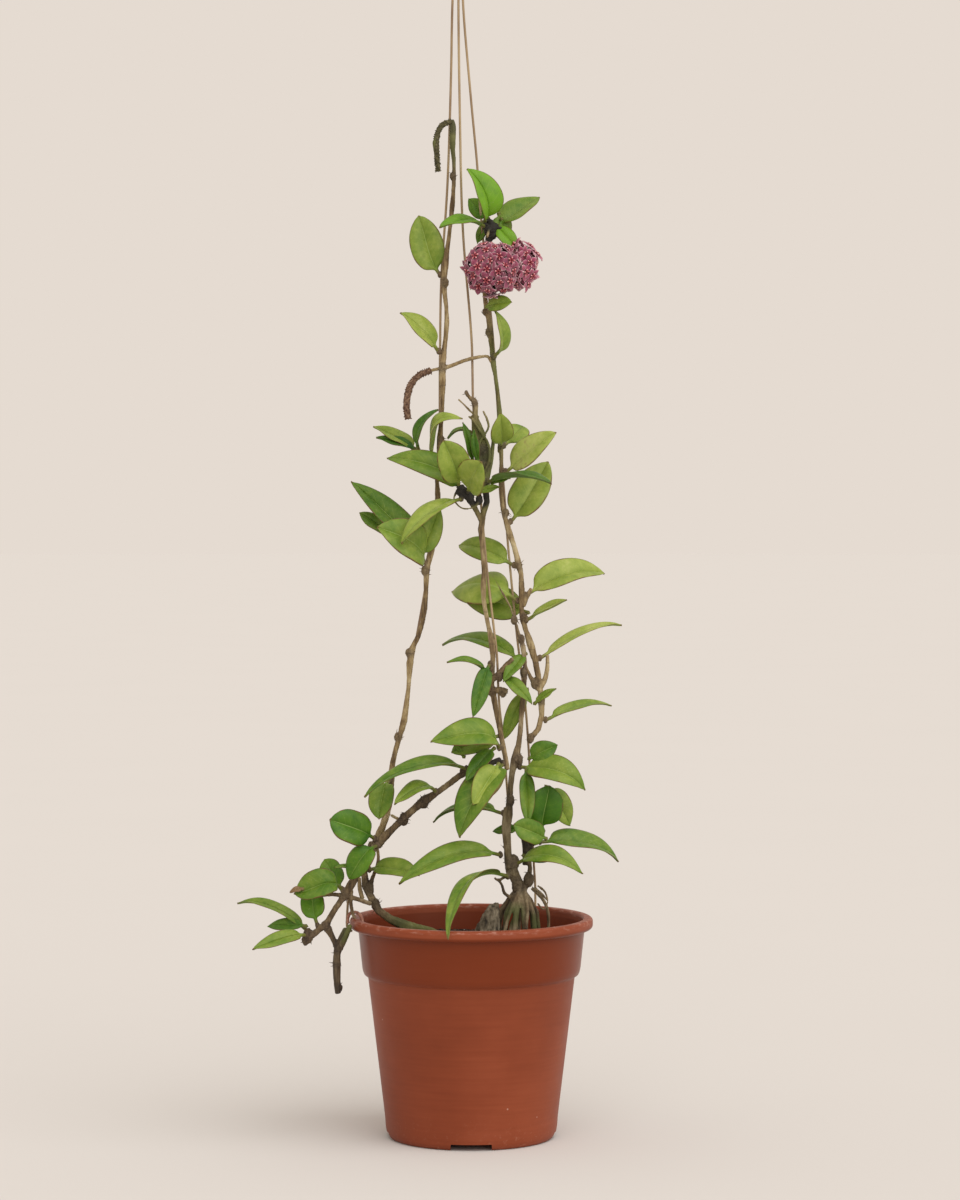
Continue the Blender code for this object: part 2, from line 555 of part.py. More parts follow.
def build_hook():
    """The hook that the wires meet in: a sleeve, a shank and a round hook open at one side."""
    x, y = HANG_POINT
    profile = [(SLEEVE_RADIUS, SLEEVE_BOTTOM), (SLEEVE_RADIUS, SLEEVE_TOP - 1.5),
               (SLEEVE_RADIUS - 1.4, SLEEVE_TOP)]
    sleeve = turned("hanger_hook", "hook", profile, 12)
    for vertex in sleeve.data.vertices:
        vertex.co += Vector((x, y, 0)) * MM
    low = SLEEVE_TOP + SHANK_LENGTH
    route = [(x, y, SLEEVE_TOP - 6.0), (x, y, SLEEVE_TOP + 4.0), (x, y, low - 4.0)]
    for degrees in range(240, -30, -24):
        turn = math.radians(degrees)
        route.append((x + HOOK_RADIUS * math.cos(turn), y, low + HOOK_RADIUS * (1 + math.sin(turn))))
    wire = tube("hook_wire", "hook", route, [HOOK_WIRE_RADIUS] * len(route), 8)
    join_by_union(sleeve, [wire])


def build_umbels():
    """Each flower head as a plain lumpy ball."""
    for name, centre, radii in UMBELS:
        bm = bmesh.new()
        bmesh.ops.create_icosphere(bm, subdivisions=2, radius=1.0)
        for index, vertex in enumerate(bm.verts):
            lump = 1.0 if index % 2 else 0.94
            vertex.co = Vector([c + r * u * lump for c, r, u in zip(centre, radii, vertex.co)])
        add_object(name, bm, "flower")


# Leaves ----------------------------------------------------------------------------

def joint_on(points, height):
    """Centre, direction and radius of a stem where it passes a height."""
    route = even_route(points, 2.0)
    nearest = min(range(len(route)), key=lambda i: abs(route[i][2] - height))
    centre = Vector(route[nearest][:3])
    after = Vector(route[min(nearest + 1, len(route) - 1)][:3])
    before = Vector(route[max(nearest - 1, 0)][:3])
    return centre, (after - before).normalized(), route[nearest][3] * STEM_GIRTH


def leaf_width_at(part, stalk_part):
    """Half the leaf's width along its midrib, as a share of the largest half width."""
    blade = (part - stalk_part) / (1 - stalk_part)
    if blade <= 0:
        return 0.0
    if blade < WIDEST_PART:
        return (1 - (1 - blade / WIDEST_PART) ** 2.2) ** 0.62
    return 1 - ((blade - WIDEST_PART) / (1 - WIDEST_PART)) ** 2


def bezier(a, b, c, d, t):
    """A point on a cubic curve."""
    return a * (1 - t) ** 3 + b * 3 * t * (1 - t) ** 2 + c * 3 * t * t * (1 - t) + d * t ** 3


def midrib(start, outward, tip, face, lift_base, lift_tip):
    """Points of the midrib and the way that the leaf faces at each."""
    length = (tip - start).length
    way = (tip - start).normalized()
    normal = (face - way * face.dot(way)).normalized()
    first = start + outward * length * 0.12 + way * length * 0.2 + normal * lift_base
    second = tip - way * length * 0.3 + normal * lift_tip
    stalk_part = min(STALK_LENGTH / length, 0.4)
    parts = [0.0, stalk_part * 0.8]
    parts += [stalk_part + (1 - stalk_part) * k / LEAF_RINGS for k in range(1, LEAF_RINGS)]
    parts.append(1 - 0.03 * (1 - stalk_part))
    centres = [bezier(start, first, second, tip, part) for part in parts]
    return parts, stalk_part, centres, normal


def build_leaf(name, stem_points, height, tip, width, face, lift_base, lift_tip, fold):
    """A leaf: a round stalk that opens into a folded blade with a keel below."""
    centre, along, radius = joint_on(stem_points, height)
    tip = Vector(tip)
    outward = tip - centre
    outward = (outward - along * outward.dot(along)).normalized()
    start = centre + outward * (radius * SWELLING + GAP + STALK_RADIUS * 0.5)
    parts, stalk_part, centres, normal = midrib(start, outward, tip, Vector(face), lift_base, lift_tip)
    ways = directions(centres)
    fold = math.radians(fold)
    bm = bmesh.new()
    rings = []
    for part, place, way in zip(parts, centres, ways):
        side = way.cross(normal).normalized()
        up = side.cross(way)
        half = leaf_width_at(part, stalk_part) * width / 2
        thick = LEAF_THICKNESS * (1 - 0.5 * part) / 2
        if half < STALK_RADIUS:
            half, raised = STALK_RADIUS, 0.0
            thick = min(thick * 1.3, STALK_RADIUS)
        else:
            half, raised = half * math.cos(fold), half * math.sin(fold)
        corners = [(half, raised), (0, thick), (-half, raised), (-half / 2, raised / 2 - thick * 0.9),
                   (0, -thick * 1.2), (half / 2, raised / 2 - thick * 0.9)]
        rings.append([bm.verts.new(place + side * s + up * u) for s, u in corners])
    first = bm.verts.new(centres[0] - ways[0] * STALK_RADIUS * 0.4)
    last = bm.verts.new(tip)
    close_rings(bm, rings, first, last)
    add_object(name, bm, "leaf")


def build_leaves():
    """Every leaf at its joint."""
    stems = {"left": LEFT_VINE, "spur": LEFT_SPUR, "middle": MIDDLE_VINE, "arm": MIDDLE_ARM,
             "right": RIGHT_VINE, "main": MAIN_VINE, "shoot": SIDE_SHOOT, "arch": ARCHING_STEM}
    for name, stem_name, height, tip, width, face, lift_base, lift_tip, fold in LEAVES:
        build_leaf(name, stems[stem_name], height, tip, width, face, lift_base, lift_tip, fold)


def build():
    """The whole plant in its pot."""
    clear_scene()
    build_pot()
    build_potting_mix()
    build_stems()
    build_stump()
    build_wires()
    build_hook()
    build_umbels()
    build_leaves()


build()
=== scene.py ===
"""The looks of a climbing hoya in a hanging nursery pot: waxy folded leaves, bark-skinned
vines with knots and roots, two umbels of star florets, a turned plastic pot with loose
potting mix and a slab of bark, and three coated wires that meet in a steel hook.

Metres, +Z up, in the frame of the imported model. Tables of places are in millimetres.
"""

import math
import random

import bmesh
import bpy
import numpy as np
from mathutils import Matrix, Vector
from mathutils.bvhtree import BVHTree


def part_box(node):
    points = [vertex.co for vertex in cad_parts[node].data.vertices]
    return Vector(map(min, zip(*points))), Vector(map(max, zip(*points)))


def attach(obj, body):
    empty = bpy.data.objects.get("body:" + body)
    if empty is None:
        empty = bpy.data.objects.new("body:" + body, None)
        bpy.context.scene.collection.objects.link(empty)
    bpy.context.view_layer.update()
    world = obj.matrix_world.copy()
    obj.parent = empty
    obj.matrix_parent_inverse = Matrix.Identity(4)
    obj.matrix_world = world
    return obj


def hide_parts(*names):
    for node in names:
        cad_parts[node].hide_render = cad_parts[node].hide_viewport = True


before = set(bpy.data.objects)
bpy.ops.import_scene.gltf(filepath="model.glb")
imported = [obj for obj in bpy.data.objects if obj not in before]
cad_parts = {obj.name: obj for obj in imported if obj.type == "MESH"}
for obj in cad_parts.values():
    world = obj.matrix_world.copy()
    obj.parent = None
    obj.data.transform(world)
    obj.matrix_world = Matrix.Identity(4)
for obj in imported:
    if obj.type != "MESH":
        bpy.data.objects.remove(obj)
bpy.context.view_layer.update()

MM = 0.001
WELD = 5e-6                # loose corners closer than this are one corner, m
FULL_TURN = 6.283          # how far a scattered shape may be spun, radians

# Camera and light
CAMERA_PLACE = (0.006, -2.4, 0.441)
CAMERA_TILT = 1.55         # degrees below the horizon
CAMERA_LENS = 103.1        # mm, on a 36 mm long side
PAPER = (0.784, 0.708, 0.638)
FLOOR_TONE = (0.651, 0.628, 0.603)
FLOOR_RADIUS = 30.0        # m
FLOOR_SIDES = 96
SUN_STRENGTH = 2.0
SUN_SPREAD = 80            # how wide the sun looks, degrees
SUN_TURN = (46, 8, 26)     # degrees about x, y and z

# Leaves, mm
LEAF_RINGS = 46
STALK_RINGS = 6
STALK_RADIUS = 1.25
STALK_FOOT = 1.6           # how far the stalk reaches into its stem
STALK_FLARE = 0.35         # how much wider the stalk grows towards its foot
RING_CROWDING = 1.1        # above 1, the rings of the blade draw nearer the stalk
LEAF_THICKNESS = 1.5
ACROSS = [0.0, 0.05, 0.13, 0.26, 0.42, 0.58, 0.73, 0.86, 0.95, 1.0]
WIDEST_PART = 0.4
BASE_SWEEP = 2.2           # how the blade widens from the stalk to its widest part
BASE_BLUNTNESS = 0.62
DRAWN_TIP = 2.0            # how blunt a tip is where the leaf has no number of its own
OPENING = 0.10             # the share of the blade over which the stalk opens into it
TIP_THINNING = 0.45        # the share of the thickness that is lost at the tip
EDGE_ROUNDNESS = 3.2       # how late the thickness falls away towards the edge
EDGE_THINNING = 0.25       # the share of the thickness that is lost on the way there
DOME = 0.10                # how high each half bulges, as a share of its width
MIDRIB_DEPTH = 0.16
MIDRIB_WIDTH = 0.06        # as a share of the half width
KEEL = 3.0                 # how many times the midrib's depth stands out underneath
VEIN_PAIRS = 8
VEIN_SLANT = 0.22          # how far a vein runs towards the tip, as a share of the length
VEIN_DEPTH = 0.11
RIPPLE_TURN = 6.28         # one full wave, radians
EDGE_RIPPLES = 1.7         # waves along the edge
RIPPLE_HEIGHT = (0.2, 0.5)
MIDRIB_WAVES = 0.9         # waves along the midrib
WAVE_HEIGHT = 0.3

# A leaf's midrib in rows: the stalk's joint and two more corners, a row at every eighth of the
# blade, one just short of the tip, and the tip
BLADE_STEPS = 8
NEAR_TIP = 0.97
BLADE_START = 2.2          # where the blade starts, counted in rows
WAY_REACH = 0.15           # how far round a place the way of the midrib is read, in rows
STALK_SHARE = 0.08         # how much of a small leaf's length is stalk
ARCH_HANDLE = 0.3          # where a small leaf is lifted, as a share of its length
KEEL_SHARE = 2.2           # a packed leaf's height at the fold, as a multiple of its top side's

# Stems, mm
STEM_VOXEL = 0.46
SMOOTHING_STEPS = 7
TUBE_STEPS = 4             # rings of a twig for each corner of its route
JOINT_RADIUS = 2.3
KNOT_SIZE = 0.72           # the ball in a knot, as a share of the knot's radius
KNOT_STRETCH = 1.5
KNOT_SEAT = 0.3            # how deep in the stem the middle of a knot lies at least
SCAR_PITCH = 0.11          # how far apart the scars of a spent stalk are along it
SCAR_DEPTH = 0.15          # how deep in the stalk they sit
GOLDEN_ANGLE = 2.39996     # how far round the stalk the next one is, radians

# How far a mark fades out on a stem's bark, as a multiple of its reach
FALLOFFS = {"root": 1.6, "knot": 1.7, "moss": 1.8, "black": 1.5}

# The leaves that each stem bears, by how their names start
STEM_LEAVES = {"left_vine": ("leaf_left",), "middle_vine": ("leaf_middle",),
               "right_vine": ("leaf_top", "leaf_right"),
               "main_vine": ("leaf_main", "leaf_shoot"), "arching_stem": ("leaf_arch",)}

# Turned pieces, mm
TURNING_RADIUS = 1e-5      # the circle an outline is swept round, m: all but a point
AXIS_GAP = 0.02            # how near the axis an outline starts and ends
POLE_WELD = 0.00006        # corners closer than this are joined, m, which closes the axis gap
ROUNDED_SHARE = 0.45       # how much of an edge the rounding of one end may take

# Pot, mm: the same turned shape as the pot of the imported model, with rounded corners
POT_SIDES = 192
FOOT_HEIGHT = 4.5
FOOT_RADIUS = 57.0
FOOT_INNER_RADIUS = 46.0
NOTCH_WIDTH = 28.0
NOTCH_FLARE = 1.6          # how much wider a notch is at the bottom
NOTCH_COUNT = 4
CUTTER_SHIFT = 3.0         # how far outwards of the foot's middle a notch's cutter lies
CUTTER_EXCESS = 16         # how much longer than the foot is wide that cutter is
DRAIN_HOLE_RADIUS = 5.0
DRAIN_HOLE_RING = 34.0
DRAIN_HOLE_SIDES = 28
DRAIN_HOLE_CUT = 8
SHARP_EDGE = 50            # edges of the pot that turn further than this look sharp, degrees
POT_ROUNDING = 1.3
POT_OUTLINE = [            # radius, height, and how rounded the corner is
    (AXIS_GAP, 0.0, 0), (18.0, 0.0, 1), (19.0, FOOT_HEIGHT, 1), (45.0, FOOT_HEIGHT, 1),
    (FOOT_INNER_RADIUS, 0.0, 1), (FOOT_RADIUS, 0.0, 1.5), (59.2, 3.0, 2), (60.2, 8.0, 2),
    (60.5, 14.0, 2), (72.4, 113.0, 1), (75.2, 114.5, 1.2), (76.3, 118.0, 2), (79.3, 146.5, 1),
    (83.6, 146.5, 1.2), (85.0, 148.0, 1.5), (85.0, 152.6, 1.6), (83.6, 154.0, 1.6),
    (79.0, 154.0, 1.2), (77.8, 152.5, 1.5), (74.8, 118.0, 2), (70.9, 112.0, 2), (59.0, 14.0, 2),
    (57.0, 6.5, 2), (AXIS_GAP, 6.5, 0),
]

# Heights between which a colour of the pot sets in, m
BAND_START = (0.1135, 0.1155)
BAND_END = (0.1495, 0.1480)
LIP_START = (0.1495, 0.1535)

# Potting mix and slab of bark, mm
CRUMB_DEPTH = 3            # crumbs lie on the faces of the bed less than this below its top
CRUMB_SLOPE = 0.3          # and that look up at least this much
SLAB_VOXEL = 0.6
SLAB_SMOOTHING_STEPS = 8

# How light each leaf is: 0 is deep green, 1 is yellow green, and a higher tone is dry
# Lower tones are partly painted shade: leaves that lie in shade or behind others are made darker
LEAF_TONES = {
    "leaf_left_1": 0.68, "leaf_left_2": 0.88, "leaf_left_3": 0.75, "leaf_left_4": 0.82,
    "leaf_left_5": 0.3, "leaf_left_6": 0.6, "leaf_left_7": 0.45, "leaf_left_8": 0.55,
    "leaf_middle_1": 0.5, "leaf_middle_2": 0.75, "leaf_middle_3": 0.2,
    "leaf_middle_4": 0.85, "leaf_middle_5": 0.24, "leaf_middle_6": 0.5,
    "leaf_middle_7": 0.85, "leaf_top_1": 0.4, "leaf_top_2": 0.5, "leaf_top_3": 0.34,
    "leaf_right_1": 0.66, "leaf_right_2": 0.75, "leaf_right_3": 0.7, "leaf_right_4": 1.0,
    "leaf_right_5": 0.82, "leaf_right_6": 0.72, "leaf_right_7": 0.8, "leaf_right_8": 0.86,
    "leaf_right_9": 0.85, "leaf_right_10": 0.98, "leaf_right_11": 0.62,
    "leaf_main_1": 0.5, "leaf_main_2": 0.58, "leaf_main_3": 0.36, "leaf_main_4": 0.6,
    "leaf_main_5": 0.5, "leaf_main_6": 0.52, "leaf_shoot_1": 0.06, "leaf_shoot_2": 0.38,
    "leaf_arch_1": 0.38, "leaf_arch_2": 0.55, "leaf_arch_3": 0.14, "leaf_arch_4": 0.2,
    "leaf_arch_5": 0.36, "leaf_arch_6": 0.2, "leaf_arch_7": 0.55, "leaf_arch_8": 0.56,
    "leaf_arch_9": 0.42,
}

# How vivid the green of a young leaf is, from 0 to 1
FRESH_LEAVES = {
    "leaf_top_1": 0.85, "leaf_top_3": 0.6, "leaf_shoot_1": 0.3, "top_hanging": 0.8,
    "top_back": 0.4, "leaf_arch_6": 0.3, "leaf_arch_3": 0.2, "leaf_arch_4": 0.2,
    "upright_arch": 0.2,
}

# How blunt the tip of a leaf is: 2 is a drawn-out tip, 4 is nearly round
BLUNT_TIPS = {
    "leaf_shoot_1": 3.4, "leaf_arch_3": 3.6, "leaf_arch_4": 2.8, "leaf_arch_5": 2.6,
    "leaf_arch_6": 3.4, "leaf_middle_7": 3.2, "leaf_middle_2": 3.0, "leaf_left_7": 3.0,
    "leaf_left_8": 2.6, "leaf_right_3": 3.0, "leaf_right_6": 2.5, "leaf_right_5": 2.4,
    "leaf_left_1": 2.5, "leaf_left_6": 2.4, "round_shoot": 3.6, "under_umbel": 3.0,
    "upright_arch": 3.2, "blunt_left": 3.0, "under_middle": 2.6,
}

# Small leaves between the large ones: name, joint x y z, tip x y z, width, way the face
# looks, lift near the stalk and near the tip, fold in degrees, tone
# Their tones, as above, are partly painted shade: the darkest mark leaves that lie in shade
SMALL_LEAVES = [
    ("top_back", (12, 6, 642), (-2, 14, 657), 13, (-0.3, -1, 0.2), 1, 1, 12, 0.25),
    ("top_hanging", (17, 6, 637), (32, 0, 619), 13, (0.3, -1, 0.2), 2, 3, 14, 0.5),
    ("top_left_strip", (11, 8, 640), (4, 8, 625), 8, (-0.4, -1, 0), 1, 1, 14, 0.45),
    ("top_right_strip", (21, 6, 642), (23, 8, 628), 8, (0.4, -1, 0), 1, 1, 14, 0.4),
    ("top_drooping", (19, 8, 646), (23, 8, 627), 15, (0.3, -1, 0), 1, 1, 12, 0.5),
    ("under_umbel", (10, -6, 580), (28, -16, 583), 12, (0, -1, 0.4), 2, 1, 10, 0.6),
    ("shaded_left", (-38, 4, 481), (-67, 14, 490), 9, (0, -0.8, 0.6), 4, 1, 20, 0.1),
    ("curled_left", (-37, 0, 481), (-23, -4, 509), 11, (-1, -0.8, 0.3), 10, 9, 20, 0.1),
    ("arched_middle", (0, 2, 493), (-17, 6, 489), 8, (0, -0.4, 1), 6, 4, 18, 0.4),
    ("narrow_middle", (1, -6, 472), (-6, -4, 500), 8, (0.5, -1, 0), 2, 2, 24, 0.35),
    ("narrow_middle_2", (5, -16, 472), (2, -16, 495), 7, (-0.4, -1, 0), 2, 2, 20, 0.15),
    ("small_middle", (5, -14, 451), (20, -20, 455), 7, (0, -0.8, 0.6), 1, 1, 10, 0.55),
    ("blunt_left", (-53, 14, 420), (-79, 22, 437), 12, (0.2, -1, 0.4), 1, 1, 14, 0.4),
    ("upright_left", (-36, -14, 406), (-22, -8, 441), 17, (0.3, -1, 0), 1, 1, 14, 0.62),
    ("arched_main", (11, -18, 326), (-17, -28, 334), 10, (0, -0.5, 1), 8, 5, 18, 0.4),
    ("hanging_main_1", (39, -6, 314), (23, -4, 279), 13, (-0.4, -1, 0.1), 3, 3, 14, 0.6),
    ("hanging_main_2", (22, -16, 324), (42, -30, 305), 11, (0.2, -0.9, 0.5), 3, 3, 14, 0.5),
    ("hanging_main_3", (38, -8, 339), (22, -24, 320), 11, (-0.3, -1, 0.4), 3, 2, 12, 0.4),
    ("right_bract", (44, -8, 304), (59, -14, 315), 7, (-0.3, -0.8, 0.6), 1, 1, 20, 0.55),
    ("under_middle", (19, -16, 282), (-14, -24, 271), 17, (0, -1, 0.4), 3, 3, 16, 0.5),
    ("curled_bract", (-5, -24, 268), (-11, -26, 278), 4, (-0.3, -1, 0.2), 1, 1, 10, 0.4),
    ("crossing_arch", (16, -22, 274), (-4, -42, 252), 13, (-0.3, -1, 0.4), 3, 3, 14, 0.3),
    ("hanging_by_shoot", (38, -16, 260), (39, -30, 221), 12, (0.1, -1, 0.2), 1, 1, 20, 0.4),
    ("behind_shoot", (52, -4, 246), (69, -2, 218), 19, (0.4, -1, 0.2), 3, 2, 14, 0.62),
    ("round_shoot", (52, -22, 211), (29, -34, 222), 17, (0, -1, 0.3), 2, 2, 10, 0.44),
    ("shaded_main", (36, -18, 199), (57, -26, 197), 9, (0, -0.8, -0.2), -2, -3, 14, 0.15),
    ("olive_main", (33, -10, 216), (15, -2, 214), 9, (0, -0.8, 0.6), 2, 2, 14, 0.35),
    ("dull_arch", (-115, -12, 149), (-143, 2, 147), 11, (0, -0.8, 0.6), 3, 2, 14, 0.3),
    ("narrow_arch", (-82, -14, 190), (-95, -22, 191), 5, (0, -0.6, 0.8), 2, 1, 16, 0.4),
    ("upright_arch", (-91, -8, 175), (-103, 4, 194), 17, (-0.2, -1, 0.1), 1, 1, 10, 0.3),
    ("dry_tip", (-117, -22, 176), (-126, -24, 174), 5, (0, -0.8, 0.6), 2, 1, 20, 1.6),
    ("bright_inner", (19, -32, 264), (1, -52, 237), 20, (0.1, -1, 0.3), 3, 3, 12, 0.76),
    ("lower_right", (40, 4, 367), (-11, 22, 384), 25, (0, -1, 0.1), 0, 0, 10, 0.66),
    ("by_black_scar", (12, -10, 458), (27, -18, 461), 9, (0, -0.8, 0.6), 2, 1, 12, 0.45),
    ("top_of_main", (40, -14, 266), (60, -18, 276), 16, (0, -1, 0.3), 2, 2, 12, 0.3),
]

# Knots on each stem, besides those at its leaf joints: x, y, z, radius
KNOTS = {
    "left_vine": [
        (-18, -4, 597, 3.2), (-21, -4, 538, 3.0), (-36, -5, 397, 3.3), (-47, -5, 340, 3.0),
        (-53, -5, 281, 2.9), (-60, -5, 239, 2.9), (-70, -4, 204, 3.4), (-71, -8, 175, 4.2),
        (-67, -10, 164, 4.0), (-15, -3, 671, 2.5), (-20, -3, 488, 2.6), (-24, -4, 442, 2.6),
    ],
    "middle_vine": [
        (2, -10, 514, 2.8), (-4, -10, 522, 1.8), (7, -10, 481, 4.0), (9, -10, 470, 3.8),
        (-6, -14, 453, 4.4), (-1, -14, 448, 4.2), (5, -12, 446, 3.4), (12, -16, 329, 2.6),
        (13, -16, 313, 3.0), (19, -17, 324, 3.0), (22, -17, 313, 3.0),
    ],
    "right_vine": [
        (14, 2, 635, 4.6), (18, 0, 631, 3.8), (10, 0, 634, 3.8), (12, 1, 563, 3.1),
        (18, 0, 493, 2.6), (29, -1, 438, 2.8), (33, -2, 400, 3.2), (37, -4, 364, 3.0),
        (44, -6, 318, 3.6), (49, -8, 307, 3.2), (41, -12, 280, 3.4), (9, 1, 577, 2.4),
    ],
    "main_vine": [
        (28, -11, 362, 3.2), (35, -12, 349, 3.2), (36, -13, 326, 3.4), (35, -13, 265, 3.8),
        (27, -14, 237, 4.0), (30, -15, 194, 5.4), (44, -12, 209, 3.4), (32, -17, 178, 5.4),
        (40, -16, 182, 5.0),
    ],
    "arching_stem": [
        (-33, -17, 236, 4.3), (-47, -15, 224, 4.4), (-6, -20, 258, 3.0), (-64, -13, 207, 3.4),
        (-74, -12, 194, 3.4), (-88, -12, 170, 3.0), (-101, -12, 150, 3.0), (-114, -12, 142, 5.0),
        (-117, -13, 138, 3.6), (-93, -13, 134, 3.4), (-95, -13, 122, 2.3), (-93, -13, 106, 2.5),
    ],
}

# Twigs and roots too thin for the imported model: x, y, z, radius along each
TWIGS = {
    "left_vine": [
        [(-20, -5, 537, 1.4), (-12, -6, 540, 1.3), (-3, -6, 543.5, 1.2), (6, -5, 545.5, 1.2)],
        [(-56, -6, 226, 1.0), (-52, -9, 224, 1.1), (-48, -13, 223, 1.4)],
        [(-66, -4, 204, 1.2), (-65, -5, 197, 1.1), (-66, -6, 190, 1.2), (-69, -7, 182, 1.4),
         (-71, -8, 175, 1.8)],
        [(-78, -12, 183, 1.2), (-78, -11, 176, 1.5), (-76, -10, 168, 1.7)],
        [(6, -5, 545.5, 1.0), (9.5, -3, 546, 1.0), (12, -1, 545.5, 1.1), (14, 0, 542.5, 1.5)],
    ],
    "middle_vine": [
        [(29, -18, 336, 1.5), (25, -17, 332, 1.8), (19, -17, 325, 2.2), (13, -16, 320, 2.0)],
        [(25, -18, 313, 2.0), (20, -17, 314, 2.2), (14, -16, 313, 2.0)],
        [(5, -9, 503, 1.1), (0, -8, 507, 0.8), (-5, -6, 512, 0.7), (-9, -4, 516, 0.6)],
        [(9, -9, 490, 1.6), (5, -8, 499, 1.2), (-2, -6, 504, 0.8)],
        [(3, -8, 503, 1.6), (6, -9, 495, 2.4), (8, -9, 485, 2.8), (10, -9, 472, 2.8),
         (10, -10, 460, 2.4)],
        [(0, -11, 503, 0.7), (6, -13, 494, 0.9), (12, -12, 484, 0.9), (12, -13, 472, 1.0),
         (7, -13, 462, 1.0)],
        [(8, -8, 508, 0.7), (12, -10, 497, 0.8), (6, -13, 486, 0.9), (4, -13, 474, 1.0),
         (8, -13, 463, 1.0)],
        [(1, -7, 505, 1.1), (2, -8, 492, 1.7), (4, -10, 478, 2.2), (6, -10, 462, 2.4)],
        [(16, -6, 497, 0.9), (15, -7, 484, 1.3), (13, -9, 470, 1.7), (10, -10, 458, 2.2)],
        [(-10, -16, 452, 0.7), (-12, -17, 446, 0.6), (-6, -18, 440, 0.6), (2, -17, 441, 0.7),
         (6, -14, 446, 1.0)],
    ],
    "right_vine": [
        [(53, -6, 338, 1.3), (53, -6, 329, 1.5), (51, -6, 320, 1.9), (46, -7, 313, 2.2)],
        [(37, -10, 332, 1.0), (40, -9, 325, 1.2), (44, -7, 318, 1.6)],
        [(42, -2, 384, 1.4), (39, -3, 379, 1.6), (36, -4, 372, 1.8)],
        [(21, 1, 494, 1.3), (20, 1, 486, 1.5), (20, 0, 479, 1.8)],
    ],
    "main_vine": [
        [(18, -20, 183, 0.9), (21, -20, 179, 1.0), (23, -19, 173, 1.2), (28, -18, 169, 1.5)],
        [(53, -20, 168, 0.7), (48, -18, 173, 0.9), (44, -16, 176, 1.2)],
        [(16, -22, 184, 0.8), (19, -21, 182, 1.0), (24, -19, 185, 1.1)],
        [(34, -19, 176, 1.4), (29, -26, 166, 1.2), (24, -31, 152, 1.3), (21, -34, 138, 1.1)],
        [(37, -19, 174, 1.4), (39, -28, 163, 1.2), (38, -33, 150, 1.2), (40, -36, 138, 1.0)],
        [(42, -15, 176, 1.3), (51, -14, 166, 1.2), (54, -11, 152, 1.1), (52, -8, 138, 1.0)],
        [(31, -10, 174, 1.3), (24, -3, 164, 1.3), (20, 3, 150, 1.2), (22, 8, 138, 1.0)],
        [(30, -18, 170, 1.2), (31, -25, 160, 1.4), (27, -28, 148, 1.5), (30, -33, 138, 1.3)],
        [(46, -18, 178, 0.8), (51, -21, 174, 0.7), (53, -22, 167, 0.6), (50, -22, 162, 0.6),
         (46, -21, 166, 0.8)],
        [(38, -12, 223, 2.0), (37, -11, 214, 2.8), (38, -12, 204, 2.6), (38, -14, 192, 2.4)],
        [(24, -14, 232, 1.6), (23, -15, 218, 2.0), (25, -16, 204, 2.4), (27, -18, 190, 2.6)],
    ],
    "arching_stem": [
        [(-83, -12, 174, 1.0), (-84, -12, 167, 1.2), (-83, -11, 159, 1.2), (-81, -9, 153, 1.1)],
        [(-102, -12, 148, 1.6), (-97, -12, 141, 1.7), (-93, -13, 134, 2.2)],
        [(-87.5, -15, 148, 1.5), (-90, -14, 142, 2.1), (-93, -13, 135, 2.5)],
        [(-93, -13, 136, 2.3), (-94, -13, 124, 2.6), (-94, -13, 112, 2.2), (-93, -13, 102, 2.0)],
    ],
}

# Green moss on the stems, and painted shade on the main vine: x, y, z, reach, and strength where it
# isn't full
MOSS_AND_PAINTED_SHADE = {
    "left_vine": [(-40, -8, 147, 14), (-28, -6, 144, 20), (-14, -2, 696, 14)],
    "middle_vine": [(9, -10, 470, 24)],
    "right_vine": [(14, 2, 635, 8), (21, 0, 520, 30)],
    # The two weak wide spots on the main vine are painted shade with a little green
    "main_vine": [(46, -22, 150, 7), (30, -24, 158, 6), (26, -12, 238, 18, 0.1),
                  (30, -15, 190, 10, 0.2)],
    "arching_stem": [(-84, -26, 148, 9)],
}

# Black scars where leaves and flowers fell, and painted shade: x, y, z, reach, and strength where it
# isn't full
BLACK_SCARS_AND_PAINTED_SHADE = {
    "left_vine": [(-13, -2, 707, 6, 0.6), (-16, -3, 680, 14, 0.35), (-58, -10, 158, 12, 0.45),
                  (-71, -8, 176, 6, 0.5)],
    "middle_vine": [(-6, -14, 453, 5.5), (0, -14, 448, 5), (8, -12, 447, 5), (8, -10, 478, 5, 0.5)],
    "right_vine": [(14, 2, 635, 9), (19, 0, 630, 6)],
    # The weak wide spots on the main vine are painted shade over its tangle of roots and gaps
    "main_vine": [(37, -12, 212, 8, 0.8), (40, -12, 200, 5, 0.8), (34, -20, 150, 16, 0.3),
                  (28, -14, 182, 20, 0.25), (27, -13, 215, 20, 0.25), (26, -12, 248, 16, 0.2)],
    "arching_stem": [(16, -20, 268, 6), (-70, -13, 190, 5), (-71, -8, 175, 5),
                     (-93, -13, 122, 14, 0.5), (-93, -13, 104, 6, 0.65),
                     (-89, -14, 144, 6, 0.45)],
}

# How tan each stem is: 1 is tan, 0 is grey brown
STEM_TAN = {"left_vine": 0.8, "middle_vine": 0.5, "right_vine": 0.75, "main_vine": 0.1,
            "arching_stem": 0.1}

# How far the skin of each packed stem moves out before bark grows on it, mm: it moves in, to
# leave room for the bark
SKIN_SHIFT = {"left_vine": -0.45, "middle_vine": -0.1, "right_vine": -0.25, "main_vine": -0.8,
              "arching_stem": -0.1}

# Near the potting mix the skin moves less: the least share of the shift, the height from
# which the share is counted and the rise over which it grows to the whole, m
ROOT_SHARE = 0.3
ROOT_BOTTOM = 0.150
ROOT_TAPER = 0.035

